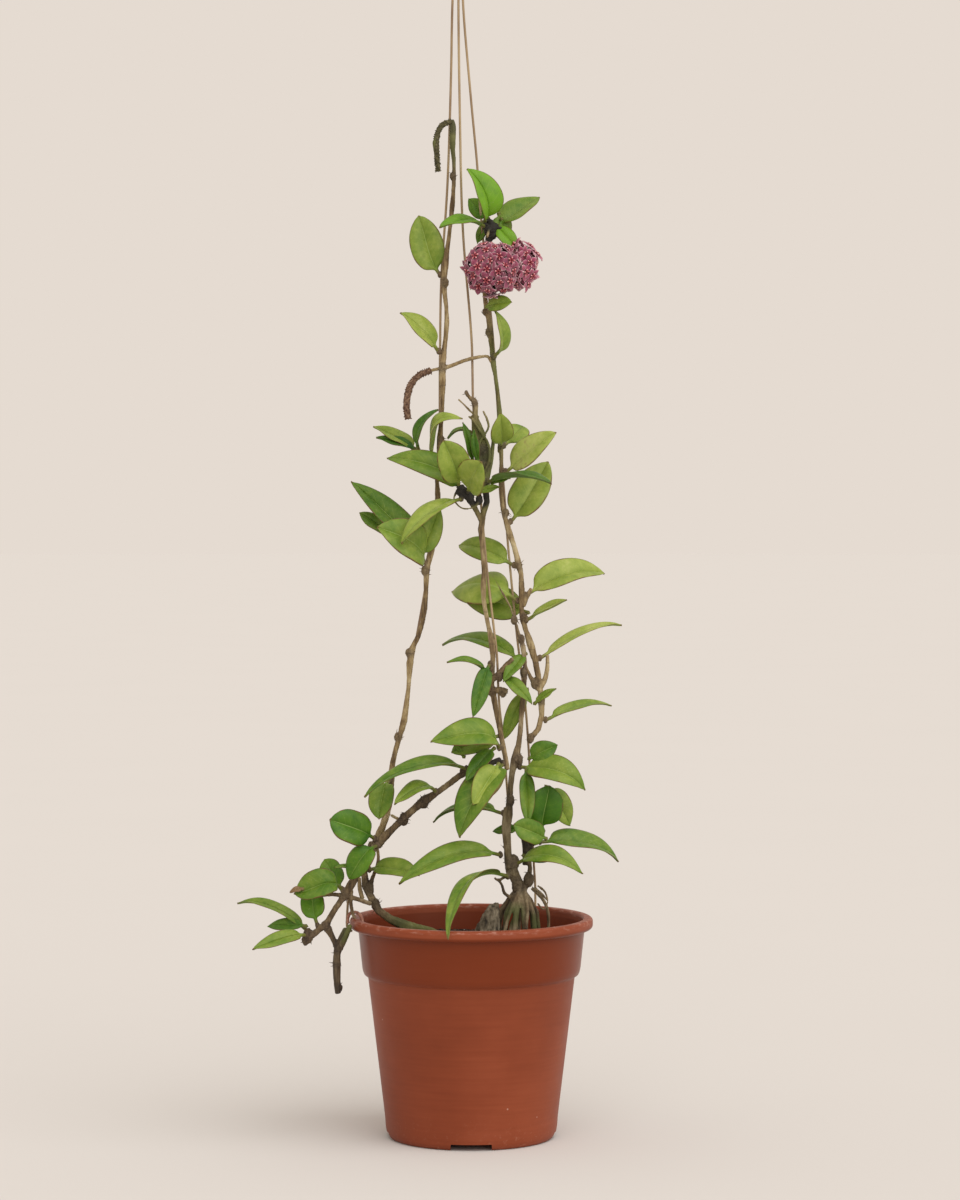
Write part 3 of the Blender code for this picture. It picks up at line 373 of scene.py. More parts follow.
# Spent flower stalks, from root to tip: x, y, z, radius
SPENT_STALKS = {
    "upper": [(-14, -3, 708.5, 1.6), (-17, -4, 708, 1.7), (-21, -4, 705.5, 1.8),
              (-24, -4, 698, 1.9), (-24, -5, 686, 1.9), (-23, -5, 674, 1.5)],
    "lower": [(-28, -6, 536, 1.9), (-37, -7, 532, 2.1), (-43, -8, 524, 2.3), (-45, -9, 512, 2.3),
              (-44, -9, 502, 1.9)],
}
SPENT_TONES = {
    "upper": ((0.024, 0.020, 0.008), (0.075, 0.066, 0.024), (0.165, 0.140, 0.065)),
    "lower": ((0.055, 0.024, 0.014), (0.150, 0.080, 0.046), (0.300, 0.200, 0.125)),
}

# The thick end of the left vine, which bears the upper stalk
SPENT_TOP = [(-13, -2, 690, 1.9), (-13, -2, 699, 2.3), (-13, -2.5, 706, 2.2),
             (-13.5, -3, 710, 1.5)]

# Flower heads: seed of the scatter, shift and growth of the imported shape in mm, and a factor on
# the petal tones: painted light on the right head, painted shade on the left
UMBELS = {"left_umbel": (11, (3.0, 0.0, -2.4), (1.6, 0.4, -0.2), 0.88),
          "right_umbel": (23, (-0.6, 0.0, -1.8), (0.4, 0.0, 0.4), 1.22)}
UMBEL_SWELL = 0.09         # how uneven the ball under the florets is
FLORET_STANDOFF = 1.8      # how far inside the flower head its ball lies, mm

# The layers of a flower head: start of the name, size of the ball, spacing of the florets in
# mm, and their size
UMBEL_LAYERS = [("florets_", 1.0, 6.3, 1.24), ("inner_florets_", 0.74, 5.2, 1.1)]

# Tones of a petal from the middle to the rim, and of the darker clouds on it
PETAL_TONES = [
    (0.0, (0.100, 0.008, 0.020)), (0.20, (0.220, 0.024, 0.062)), (0.46, (0.330, 0.062, 0.125)),
    (0.74, (0.430, 0.165, 0.220)), (1.0, (0.700, 0.500, 0.500)),
]
PETAL_CLOUD = (0.210, 0.070, 0.120)

# A floret's petal and crown lobe: distance from the middle, half width, height, and how near
# the rim it is for the colour
PETAL_ROWS = [(0.5, 0.7, 0.4, 0.0), (1.9, 1.8, 0.85, 0.10), (3.3, 1.85, 1.05, 0.22),
              (4.5, 1.15, 0.9, 0.40), (5.5, 0.2, 0.65, 0.9)]
CROWN_ROWS = [(0.2, 0.3, 1.2, 0.0), (0.8, 0.5, 1.35, 0.25), (1.45, 0.55, 1.35, 0.6),
              (1.95, 0.4, 1.4, 1.0), (2.2, 0.12, 1.45, 1.0)]

# The corners across a petal, five on top and one underneath: how far to the side and how far
# down as shares of the half width, how far down in mm, and how much nearer the rim
PETAL_COLUMNS = [(-1.0, 0.3, 0.0, 0.68), (-0.66, 0.0, 0.06, 0.12), (0.0, 0.0, 0.0, 0.0),
                 (0.66, 0.0, 0.06, 0.12), (1.0, 0.3, 0.0, 0.68), (0.0, 0.0, 0.7, 0.3)]

# Hanger, mm: the wires, the clip on the rim, the sleeve over the wire ends and the hook
HANG_POINT = (-8.0, 0.0)
SLEEVE_BOTTOM = 862.0
SLEEVE_TOP = 876.0
SLEEVE_RADIUS = 3.6
SLEEVE_SIDES = 40
SLEEVE_ROUNDING = 0.8
SLEEVE_GROOVES = (3.0, 8.0)    # where the two crimps start, above the bottom
CRIMP_DEPTH = 0.7
HOOK_RADIUS = 11.0
HOOK_WIRE_RADIUS = 1.5
SHANK_LENGTH = 15.0
WIRE_RADIUS = 0.84
WIRE_SIDES = 14
RIM_CLIP = [
    (-77.0, -9, 141), (-76.0, -9.5, 148), (-76.6, -9, 154.5), (-79.0, -7, 157.4),
    (-82.0, -4, 157.8), (-85.0, -1.5, 156.6), (-86.6, 0, 153), (-86.2, -1, 149.6),
]
CLIP_RADIUS = 1.15


# Node trees --------------------------------------------------------------------------

def add(tree, kind, inputs=None, **settings):
    """Add a node; an input that is a socket is linked, and any other is set."""
    node = tree.nodes.new(kind)
    for key, value in settings.items():
        setattr(node, key, value)
    for key, value in (inputs or {}).items():
        if isinstance(value, bpy.types.NodeSocket):
            tree.links.new(value, node.inputs[key])
        else:
            node.inputs[key].default_value = value
    return node


def maths(tree, operation, first, second=0.0, third=0.0):
    """The result of a maths node."""
    inputs = {0: first, 1: second, 2: third}
    return add(tree, "ShaderNodeMath", inputs, operation=operation).outputs[0]


def step(tree, value, low, high):
    """0 below low, 1 above high, and a smooth rise between; low above high turns it round."""
    inputs = {"Value": value, "From Min": low, "From Max": high}
    kind = "ShaderNodeMapRange"
    return add(tree, kind, inputs, interpolation_type="SMOOTHSTEP").outputs[0]


def blend(tree, share, first, second):
    """Two colours mixed by a share."""
    inputs = {0: share, 6: first, 7: second}
    return add(tree, "ShaderNodeMix", inputs, data_type="RGBA").outputs[2]


def tint(tree, colour, share, strength, tone):
    """A tone laid over a colour, by a share times a strength."""
    return blend(tree, maths(tree, "MULTIPLY", share, strength), colour, (*tone, 1.0))


def ramp(tree, value, stops):
    """A colour ramp through stops of place and colour."""
    node = add(tree, "ShaderNodeValToRGB", {0: value})
    elements = node.color_ramp.elements
    while len(elements) < len(stops):
        elements.new(0.5)
    for element, (place, colour) in zip(elements, stops):
        element.position = place
        element.color = (*colour, 1.0)
    return node.outputs[0]


def noise(tree, place, scale, detail=3.0, roughness=0.5):
    """A grey noise at a place, counted per metre."""
    inputs = {"Vector": place, "Scale": scale, "Detail": detail, "Roughness": roughness}
    return add(tree, "ShaderNodeTexNoise", inputs).outputs[0]


def object_place(tree, stretch=(1.0, 1.0, 1.0)):
    """Object coordinates, stretched along the axes."""
    place = add(tree, "ShaderNodeTexCoord").outputs["Object"]
    return add(tree, "ShaderNodeMapping", {"Vector": place, "Scale": stretch}).outputs[0]


def attribute(tree, name):
    """A number kept on the mesh."""
    return add(tree, "ShaderNodeAttribute", attribute_name=name).outputs["Fac"]


def new_material(name):
    """A material with its tree and shader."""
    made = bpy.data.materials.new(name)
    made.use_nodes = True
    tree = made.node_tree
    return made, tree, tree.nodes["Principled BSDF"]


def link(tree, shader, **sockets):
    """Join sockets to the shader's inputs; an underscore stands for a space."""
    for name, value in sockets.items():
        tree.links.new(value, shader.inputs[name.replace("_", " ")])


def fix(shader, **values):
    """Set what is the same all over on the shader's own inputs."""
    for name, value in values.items():
        shader.inputs[name.replace("_", " ")].default_value = value


def bump(tree, shader, height, strength, distance):
    """Let a height raise the surface."""
    inputs = {"Height": height, "Strength": strength, "Distance": distance}
    tree.links.new(add(tree, "ShaderNodeBump", inputs).outputs[0], shader.inputs["Normal"])


# Materials ---------------------------------------------------------------------------

def leaf_finish():
    """Thick waxy leaf: pale midrib and side veins, silver flecks, thin red-brown margin."""
    made, tree, shader = new_material("waxy_leaf")
    map_place = add(tree, "ShaderNodeUVMap", uv_map="blade").outputs[0]
    parts = add(tree, "ShaderNodeSeparateXYZ", {0: map_place})
    along = parts.outputs[0]
    side = maths(tree, "MULTIPLY_ADD", parts.outputs[1], 2.0, -1.0)
    across = maths(tree, "ABSOLUTE", side)
    place = object_place(tree)
    patches = noise(tree, place, 70.0, 4.0, 0.6)
    mottle = noise(tree, place, 300.0, 3.0, 0.6)
    # The tone is the leaf's own green, with painted shade on leaves that lie in shade
    tone = maths(tree, "SUBTRACT", attribute(tree, "tone"), 0.67)
    tone = maths(tree, "MULTIPLY_ADD", patches, 0.92, tone)
    tone = maths(tree, "MULTIPLY_ADD", mottle, 0.42, tone)
    colour = ramp(tree, maths(tree, "MULTIPLY", tone, 0.75), [
        (0.0, (0.026, 0.098, 0.005)), (0.22, (0.074, 0.162, 0.010)), (0.45, (0.160, 0.240, 0.026)),
        (0.68, (0.275, 0.345, 0.056)), (0.85, (0.375, 0.425, 0.105)), (1.0, (0.190, 0.110, 0.050)),
    ])
    young = step(tree, patches, 0.1, 0.6)
    colour = tint(tree, colour, attribute(tree, "fresh"), young, (0.140, 0.325, 0.008))
    slant = maths(tree, "MULTIPLY_ADD", across, -VEIN_SLANT, along)
    waves = maths(tree, "PINGPONG", maths(tree, "MULTIPLY", slant, float(VEIN_PAIRS)), 0.5)
    veins = step(tree, waves, 0.07, 0.0)
    veins = maths(tree, "MULTIPLY", veins, step(tree, across, 1.0, 0.4))
    faint = step(tree, attribute(tree, "tone"), -0.2, 0.5)
    colour = tint(tree, colour, maths(tree, "MULTIPLY", veins, faint), 0.24, (0.32, 0.42, 0.09))
    colour = tint(tree, colour, step(tree, across, 0.05, 0.0), 0.5, (0.34, 0.46, 0.13))
    fleck = add(tree, "ShaderNodeTexVoronoi", {"Vector": place, "Scale": 620.0}).outputs["Distance"]
    flecks = maths(tree, "MULTIPLY", step(tree, fleck, 0.22, 0.10), step(tree, patches, 0.45, 0.62))
    colour = tint(tree, colour, flecks, 0.35, (0.42, 0.50, 0.25))
    freckles = step(tree, noise(tree, place, 420.0, 2.0), 0.68, 0.74)
    colour = tint(tree, colour, freckles, 0.22, (0.12, 0.09, 0.03))
    under = attribute(tree, "under")
    colour = tint(tree, colour, under, 0.42, (0.150, 0.215, 0.060))
    edge = step(tree, across, 0.90, 0.98)
    edge = maths(tree, "MULTIPLY", edge, step(tree, noise(tree, place, 140.0), 0.30, 0.60))
    tip = maths(tree, "MULTIPLY", step(tree, along, 0.95, 0.995), 0.85)
    colour = blend(tree, maths(tree, "MAXIMUM", edge, tip), colour, (0.135, 0.060, 0.022, 1.0))
    stalk = step(tree, along, 0.02, -0.02)
    colour = tint(tree, colour, stalk, 0.75, (0.150, 0.125, 0.040))
    wax = noise(tree, place, 240.0, 2.0)
    gloss = maths(tree, "MULTIPLY_ADD", wax, 0.22, 0.34)
    gloss = maths(tree, "MULTIPLY_ADD", under, 0.14, gloss)
    link(tree, shader, Base_Color=colour, Roughness=gloss)
    height = maths(tree, "MULTIPLY_ADD", veins, -0.7, noise(tree, place, 900.0, 2.0))
    bump(tree, shader, height, 0.45, 0.00014)
    fix(shader, IOR=1.34)
    return made


def bark_finish():
    """Vine bark: tan and grey-brown streaks, dark rough knots, green mossy stretches, black scars and
    painted shade.
    """
    made, tree, shader = new_material("vine_bark")
    place = object_place(tree, (1.0, 1.0, 0.22))
    streaks = noise(tree, place, 620.0, 4.0, 0.6)
    wide = noise(tree, object_place(tree, (1.0, 1.0, 0.6)), 75.0, 3.0)
    shade = maths(tree, "MULTIPLY", wide, 1.15)
    shade = maths(tree, "ADD", maths(tree, "MULTIPLY", streaks, 0.75), shade)
    shade = maths(tree, "SUBTRACT", shade, 0.45)
    brown = ramp(tree, shade, [
        (0.25, (0.038, 0.024, 0.012)), (0.42, (0.104, 0.067, 0.031)), (0.56, (0.180, 0.127, 0.065)),
        (0.78, (0.330, 0.262, 0.155)),
    ])
    tan = ramp(tree, shade, [
        (0.25, (0.090, 0.051, 0.020)), (0.40, (0.196, 0.128, 0.053)), (0.56, (0.328, 0.238, 0.112)),
        (0.78, (0.510, 0.415, 0.230)),
    ])
    colour = blend(tree, attribute(tree, "tan"), brown, tan)
    rings = noise(tree, object_place(tree, (0.05, 0.05, 1.0)), 420.0, 2.0)
    rings = step(tree, rings, 0.60, 0.70)
    colour = tint(tree, colour, rings, 0.35, (0.060, 0.038, 0.022))
    # Moss, and on the main vine painted shade: a dark green tint
    green = maths(tree, "MULTIPLY", attribute(tree, "moss"), step(tree, wide, 0.15, 0.50))
    colour = tint(tree, colour, green, 0.75, (0.082, 0.112, 0.018))
    knot = maths(tree, "MULTIPLY", attribute(tree, "knot"), 0.6)
    scars = ramp(tree, noise(tree, object_place(tree), 900.0, 3.0), [
        (0.35, (0.022, 0.014, 0.010)), (0.62, (0.105, 0.070, 0.042)), (0.8, (0.25, 0.19, 0.12)),
    ])
    colour = blend(tree, knot, colour, scars)
    # Black scars, and on the main vine painted shade: a near-black tint
    colour = tint(tree, colour, attribute(tree, "black"), 0.92, (0.012, 0.010, 0.009))
    link(tree, shader, Base_Color=colour)
    height = maths(tree, "ADD", streaks, noise(tree, object_place(tree), 1600.0, 2.0))
    bump(tree, shader, height, 0.8, 0.0003)
    fix(shader, Roughness=0.82)
    return made


def spent_finish(name, tones):
    """Spent flower stalk, ringed by the scars of old flowers: dark, middle and pale tones."""
    made, tree, shader = new_material(name)
    grain = noise(tree, object_place(tree), 700.0, 3.0)
    colour = ramp(tree, grain, list(zip((0.30, 0.52, 0.74), tones)))
    link(tree, shader, Base_Color=colour)
    bump(tree, shader, noise(tree, object_place(tree), 2400.0, 2.0), 0.6, 0.0002)
    fix(shader, Roughness=0.85)
    return made


def floret_finish(name, light):
    """Felted petals: dusty pink-purple that pales to a fuzzy rim, wine-red middle, all scaled by
    painted light.
    """
    made, tree, shader = new_material(name)
    place = object_place(tree)
    cloud = noise(tree, place, 160.0, 2.0)
    fuzz = noise(tree, place, 2600.0, 3.0, 0.7)
    reach = maths(tree, "SUBTRACT", attribute(tree, "reach"), 0.08)
    reach = maths(tree, "MULTIPLY_ADD", fuzz, 0.16, reach)
    # light scales every petal tone: above 1 it is painted light, below 1 painted shade
    colour = ramp(tree, reach, [(at, tuple(light * c for c in tone)) for at, tone in PETAL_TONES])
    clouded = tuple(light * c for c in PETAL_CLOUD)
    colour = tint(tree, colour, step(tree, cloud, 0.42, 0.70), 0.35, clouded)
    link(tree, shader, Base_Color=colour)
    bump(tree, shader, fuzz, 0.9, 0.0003)
    fix(shader, Roughness=0.9, Sheen_Weight=0.5, Sheen_Roughness=0.5,
        Sheen_Tint=(0.95, 0.80, 0.82, 1.0))
    return made


def crown_finish():
    """The waxy crown in the middle of a floret: glossy red-pink lobes with pale tips."""
    made, tree, shader = new_material("floret_crown")
    cloud = noise(tree, object_place(tree), 500.0, 2.0)
    reach = maths(tree, "SUBTRACT", attribute(tree, "reach"), 0.15)
    colour = ramp(tree, maths(tree, "MULTIPLY_ADD", cloud, 0.3, reach), [
        (0.0, (0.18, 0.010, 0.018)), (0.40, (0.34, 0.034, 0.055)), (0.70, (0.52, 0.130, 0.150)),
        (1.0, (0.78, 0.42, 0.42)),
    ])
    link(tree, shader, Base_Color=colour)
    fix(shader, Roughness=0.3, Coat_Weight=0.3)
    return made


def pot_finish():
    """Moulded terracotta plastic: faint flow lines, scuffed lip, chalky marks near the foot."""
    made, tree, shader = new_material("terracotta_plastic")
    place = object_place(tree)
    height = add(tree, "ShaderNodeSeparateXYZ", {0: place}).outputs[2]
    cloud = noise(tree, place, 14.0, 4.0)
    flow = noise(tree, object_place(tree, (0.05, 0.05, 1.0)), 420.0, 3.0)
    shade = maths(tree, "MULTIPLY", flow, 0.25)
    shade = maths(tree, "ADD", maths(tree, "MULTIPLY", cloud, 0.8), shade)
    colour = ramp(tree, shade, [
        (0.30, (0.185, 0.036, 0.012)), (0.52, (0.225, 0.046, 0.016)), (0.75, (0.275, 0.062, 0.024)),
    ])
    above, below = step(tree, height, *BAND_START), step(tree, height, *BAND_END)
    in_band = maths(tree, "MULTIPLY", above, below)
    colour = tint(tree, colour, in_band, 0.75, (0.150, 0.022, 0.002))
    lip = step(tree, height, *LIP_START)
    scuff = step(tree, noise(tree, object_place(tree, (1.0, 1.0, 3.0)), 170.0, 4.0, 0.7), 0.50, 0.66)
    colour = tint(tree, colour, maths(tree, "MULTIPLY", scuff, lip), 0.55, (0.46, 0.24, 0.18))
    foot = step(tree, height, 0.030, 0.0)
    chalk = step(tree, noise(tree, place, 320.0, 5.0, 0.75), 0.56, 0.72)
    colour = tint(tree, colour, maths(tree, "MULTIPLY", chalk, foot), 0.35, (0.42, 0.20, 0.13))
    dots = add(tree, "ShaderNodeTexVoronoi", {"Vector": place, "Scale": 75.0}).outputs["Distance"]
    dots = maths(tree, "MULTIPLY", step(tree, dots, 0.06, 0.03), step(tree, cloud, 0.50, 0.56))
    colour = tint(tree, colour, dots, 0.6, (0.52, 0.33, 0.26))
    rough = maths(tree, "MULTIPLY_ADD", noise(tree, place, 60.0, 4.0), 0.16, 0.40)
    rough = maths(tree, "MULTIPLY_ADD", in_band, -0.13, rough)
    link(tree, shader, Base_Color=colour, Roughness=rough)
    grain = maths(tree, "MULTIPLY_ADD", flow, 0.8, noise(tree, place, 1300.0, 2.0))
    bump(tree, shader, grain, 0.25, 0.00012)
    fix(shader, IOR=1.30)
    return made


def soil_finish(name, stops, scale, roughness):
    """Crumbs or chips of potting mix: a mottled ramp over a rough bump."""
    made, tree, shader = new_material(name)
    grain = noise(tree, object_place(tree), scale, 4.0, 0.65)
    link(tree, shader, Base_Color=ramp(tree, grain, stops))
    bump(tree, shader, grain, 0.8, 0.0006)
    fix(shader, Roughness=roughness)
    return made


def slab_finish():
    """Weathered bark: grey-brown ridges with black cracks between."""
    made, tree, shader = new_material("weathered_bark")
    place = object_place(tree, (1.0, 1.0, 0.45))
    ridges = noise(tree, place, 260.0, 5.0, 0.65)
    colour = ramp(tree, ridges, [
        (0.34, (0.024, 0.018, 0.010)), (0.48, (0.125, 0.100, 0.062)), (0.62, (0.245, 0.205, 0.140)),
        (0.78, (0.390, 0.340, 0.250)),
    ])
    green = step(tree, noise(tree, place, 70.0), 0.55, 0.7)
    colour = tint(tree, colour, green, 0.35, (0.07, 0.075, 0.030))
    link(tree, shader, Base_Color=colour)
    bump(tree, shader, ridges, 0.9, 0.0012)
    fix(shader, Roughness=0.9)
    return made


def wire_finish():
    """Tan plastic coat on the hanger wires, with darker rubbed lengths."""
    made, tree, shader = new_material("coated_wire")
    rubbed = noise(tree, object_place(tree, (1.0, 1.0, 0.3)), 70.0, 3.0)
    colour = ramp(tree, rubbed, [
        (0.35, (0.210, 0.130, 0.070)), (0.55, (0.370, 0.265, 0.140)), (0.75, (0.460, 0.370, 0.225)),
    ])
    link(tree, shader, Base_Color=colour, Roughness=maths(tree, "MULTIPLY_ADD", rubbed, 0.25, 0.3))
    bump(tree, shader, noise(tree, object_place(tree), 900.0, 2.0), 0.2, 0.0001)
    return made


def clip_finish():
    """Sun-bleached red-brown plastic of the rim clip."""
    made, tree, shader = new_material("clip_plastic")
    worn = noise(tree, object_place(tree), 260.0, 3.0)
    link(tree, shader, Base_Color=ramp(tree, worn, [
        (0.35, (0.240, 0.085, 0.055)), (0.55, (0.400, 0.180, 0.120)), (0.75, (0.500, 0.280, 0.200)),
    ]))
    bump(tree, shader, worn, 0.4, 0.0003)
    fix(shader, Roughness=0.55)
    return made


def steel_finish():
    """Drawn steel of the hook, with fine draw lines and dull spots."""
    made, tree, shader = new_material("drawn_steel")
    lines = noise(tree, object_place(tree, (1.0, 1.0, 0.15)), 900.0, 3.0)
    dull = noise(tree, object_place(tree), 160.0, 3.0)
    colour = ramp(tree, dull, [(0.35, (0.34, 0.32, 0.30)), (0.65, (0.56, 0.54, 0.51))])
    link(tree, shader, Base_Color=colour, Roughness=maths(tree, "MULTIPLY_ADD", dull, 0.3, 0.2))
    bump(tree, shader, lines, 0.2, 0.0001)
    fix(shader, Metallic=1.0)
    return made


def floor_finish():
    """Matt pale paper, very faintly clouded."""
    made, tree, shader = new_material("pale_floor")
    grain = noise(tree, object_place(tree), 3.0, 2.0)
    darker = tuple(0.985 * c for c in FLOOR_TONE)
    link(tree, shader, Base_Color=ramp(tree, grain, [(0.0, darker), (1.0, FLOOR_TONE)]))
    fix(shader, Roughness=1.0, Specular_IOR_Level=0.0)
    return made


# Geometry trees ----------------------------------------------------------------------

def new_tree(name, numbers):
    """A geometry tree with a mesh input, named inputs and a mesh output."""
    tree = bpy.data.node_groups.new(name, "GeometryNodeTree")
    tree.interface.new_socket("Geometry", in_out="INPUT", socket_type="NodeSocketGeometry")
    kinds = {float: "NodeSocketFloat", int: "NodeSocketInt", "object": "NodeSocketObject",
             "material": "NodeSocketMaterial"}
    for title, kind in numbers.items():
        tree.interface.new_socket(title, in_out="INPUT", socket_type=kinds[kind])
    tree.interface.new_socket("Geometry", in_out="OUTPUT", socket_type="NodeSocketGeometry")
    return tree, tree.nodes.new("NodeGroupInput").outputs


def end_tree(tree, geometry, finish=None):
    """Close a geometry tree: real meshes, with a material unless their shapes bring their own."""
    geometry = add(tree, "GeometryNodeRealizeInstances", {0: geometry}).outputs[0]
    if finish is not None:
        inputs = {"Geometry": geometry, "Material": finish}
        geometry = add(tree, "GeometryNodeSetMaterial", inputs).outputs[0]
    end = tree.nodes.new("NodeGroupOutput")
    tree.links.new(geometry, end.inputs[0])


def mesh_number(tree, name):
    """A number kept on the mesh, for a geometry tree."""
    kind = "GeometryNodeInputNamedAttribute"
    return add(tree, kind, {"Name": name}, data_type="FLOAT").outputs[0]


def smooth_path(tree, geometry, spacing):
    """A smooth curve through the corners of a path, with points an even distance apart."""
    path = add(tree, "GeometryNodeMeshToCurve", {0: geometry}).outputs[0]
    path = add(tree, "GeometryNodeCurveSplineType", {0: path}, spline_type="CATMULL_ROM").outputs[0]
    inputs = {"Curve": path, "Length": spacing}
    return add(tree, "GeometryNodeResampleCurve", inputs, mode="LENGTH").outputs[0]


def turned_by(tree, rotation, turn):
    """A rotation turned further about its own axes."""
    inputs = {"Rotation": rotation, "Rotate By": turn}
    return add(tree, "FunctionNodeRotateEuler", inputs, space="LOCAL").outputs[0]


def random_number(tree, low, high, seed):
    """A number between two others, drawn for each point."""
    return add(tree, "FunctionNodeRandomValue", {2: low, 3: high, "Seed": seed}).outputs[1]


def random_turn(tree, low, high, seed):
    """A turn about three axes between two others, drawn for each point."""
    inputs = {"Min": low, "Max": high, "Seed": seed}
    return add(tree, "FunctionNodeRandomValue", inputs, data_type="FLOAT_VECTOR").outputs[0]


def set_on(tree, points, shape, rotation, scale):
    """A shape set on every point."""
    shape = add(tree, "GeometryNodeObjectInfo", {0: shape}).outputs["Geometry"]
    inputs = {"Points": points, "Instance": shape, "Rotation": rotation, "Scale": scale}
    return add(tree, "GeometryNodeInstanceOnPoints", inputs).outputs[0]


def bark_tree():
    """Push a smooth stem in and out: ribs along it, grain all over, warts on its knots."""
    tree, given = new_tree("bark", {"Thicken": float, "Rib Depth": float, "Grain Depth": float,
                                    "Wart Depth": float, "Finish": "material"})
    place = add(tree, "GeometryNodeInputPosition").outputs[0]
    inputs = {0: place, 1: (1.0, 1.0, 0.16)}
    stretched = add(tree, "ShaderNodeVectorMath", inputs, operation="MULTIPLY").outputs[0]
    ribs = maths(tree, "SUBTRACT", noise(tree, stretched, 420.0, 2.0), 0.5)
    grain = maths(tree, "SUBTRACT", noise(tree, place, 780.0, 2.0), 0.5)
    warts = maths(tree, "SUBTRACT", noise(tree, place, 520.0, 3.0, 0.6), 0.42)
    warts = maths(tree, "MULTIPLY", warts, mesh_number(tree, "knot"))
    push = maths(tree, "MULTIPLY_ADD", ribs, given["Rib Depth"], given["Thicken"])
    push = maths(tree, "MULTIPLY_ADD", grain, given["Grain Depth"], push)
    push = maths(tree, "MULTIPLY_ADD", warts, given["Wart Depth"], push)
    normal = add(tree, "GeometryNodeInputNormal").outputs[0]
    inputs = {0: normal, "Scale": push}
    offset = add(tree, "ShaderNodeVectorMath", inputs, operation="SCALE").outputs[0]
    moved = add(tree, "GeometryNodeSetPosition", {"Geometry": given["Geometry"], "Offset": offset})
    end_tree(tree, moved.outputs[0], given["Finish"])
    return tree


def scatter_tree(name, on_knots=False):
    """Set a shape on the faces of a mesh, an even distance apart, turned at random."""
    tree, given = new_tree(name, {"Shape": "object", "Spacing": float, "Density": float,
                                  "Least Size": float, "Largest Size": float, "Tilt": float,
                                  "Seed": int})
    inputs = {"Mesh": given["Geometry"], "Distance Min": given["Spacing"],
              "Density Max": given["Density"], "Seed": given["Seed"]}
    if on_knots:
        inputs["Density Factor"] = mesh_number(tree, "root")
    points = add(tree, "GeometryNodeDistributePointsOnFaces", inputs, distribute_method="POISSON")
    seed, tilt = given["Seed"], given["Tilt"]
    back = maths(tree, "MULTIPLY", tilt, -1.0)
    lean_low = add(tree, "ShaderNodeCombineXYZ", {0: back, 1: back}).outputs[0]
    lean_high = add(tree, "ShaderNodeCombineXYZ", {0: tilt, 1: tilt}).outputs[0]
    spin = random_turn(tree, (0.0, 0.0, 0.0), (0.0, 0.0, FULL_TURN), seed)
    lean = random_turn(tree, lean_low, lean_high, maths(tree, "ADD", seed, 7.0))
    turn = turned_by(tree, turned_by(tree, points.outputs["Rotation"], spin), lean)
    size = random_number(tree, given["Least Size"], given["Largest Size"],
                         maths(tree, "ADD", seed, 3.0))
    end_tree(tree, set_on(tree, points.outputs[0], given["Shape"], turn, size))
    return tree


def wire_tree():
    """A round wire along the input's edges, with closed ends."""
    tree, given = new_tree("wire", {"Radius": float, "Spacing": float, "Finish": "material"})
    path = smooth_path(tree, given["Geometry"], given["Spacing"])
    inputs = {"Resolution": WIRE_SIDES, "Radius": given["Radius"]}
    ring = add(tree, "GeometryNodeCurvePrimitiveCircle", inputs).outputs[0]
    inputs = {"Curve": path, "Profile Curve": ring, "Fill Caps": True}
    tube = add(tree, "GeometryNodeCurveToMesh", inputs).outputs[0]
    smooth = add(tree, "GeometryNodeSetShadeSmooth", {"Geometry": tube}).outputs[0]
    end_tree(tree, smooth, given["Finish"])
    return tree


def scar_tree():
    """Set short stubs round a path, in a tight spiral, as on a spent flower stalk."""
    tree, given = new_tree("scars", {"Shape": "object", "Pitch": float, "Stalk Radius": float,
                                     "Seed": int})
    path = smooth_path(tree, given["Geometry"], given["Pitch"])
    points = add(tree, "GeometryNodeCurveToPoints", {"Curve": path}, mode="EVALUATED")
    index = add(tree, "GeometryNodeInputIndex").outputs[0]
    golden = maths(tree, "MULTIPLY", index, GOLDEN_ANGLE)
    spin = add(tree, "ShaderNodeCombineXYZ", {2: golden}).outputs[0]
    turn = turned_by(tree, points.outputs["Rotation"], spin)
    size = random_number(tree, 0.8, 1.25, given["Seed"])
    placed = set_on(tree, points.outputs[0], given["Shape"], turn, size)
    reach = add(tree, "ShaderNodeCombineXYZ", {0: given["Stalk Radius"]}).outputs[0]
    inputs = {"Instances": placed, "Translation": reach}
    end_tree(tree, add(tree, "GeometryNodeTranslateInstances", inputs).outputs[0])
    return tree


def turned_tree():
    """Turn an outline round the upright axis: its x is the radius, its y the height, negated."""
    tree, given = new_tree("turned", {"Sides": int, "Finish": "material"})
    outline = add(tree, "GeometryNodeMeshToCurve", {0: given["Geometry"]}).outputs[0]
    inputs = {"Resolution": given["Sides"], "Radius": TURNING_RADIUS}
    circle = add(tree, "GeometryNodeCurvePrimitiveCircle", inputs).outputs[0]
    inputs = {"Curve": circle, "Profile Curve": outline}
    solid = add(tree, "GeometryNodeCurveToMesh", inputs).outputs[0]
    end_tree(tree, solid, given["Finish"])
    return tree


# Making pieces -----------------------------------------------------------------------

def piece(name, mesh):
    """A mesh as an object at the origin."""
    made = bpy.data.objects.new(name, mesh)
    bpy.context.scene.collection.objects.link(made)
    return made


def mesh_from(name, bm):
    """The mesh of a bmesh, which is freed."""
    mesh = bpy.data.meshes.new(name)
    bm.to_mesh(mesh)
    bm.free()
    return mesh


def bmesh_piece(name, bm, finish):
    """A bmesh as a smooth object with one material."""
    mesh = mesh_from(name, bm)
    mesh.materials.append(finish)
    mesh.shade_smooth()
    return piece(name, mesh)


def bake(made):
    """Replace an object's mesh by what its modifiers make, and drop them."""
    bpy.context.view_layer.update()
    graph = bpy.context.evaluated_depsgraph_get()
    result = bpy.data.meshes.new_from_object(
        made.evaluated_get(graph), preserve_all_data_layers=True, depsgraph=graph)
    made.modifiers.clear()
    made.data = result


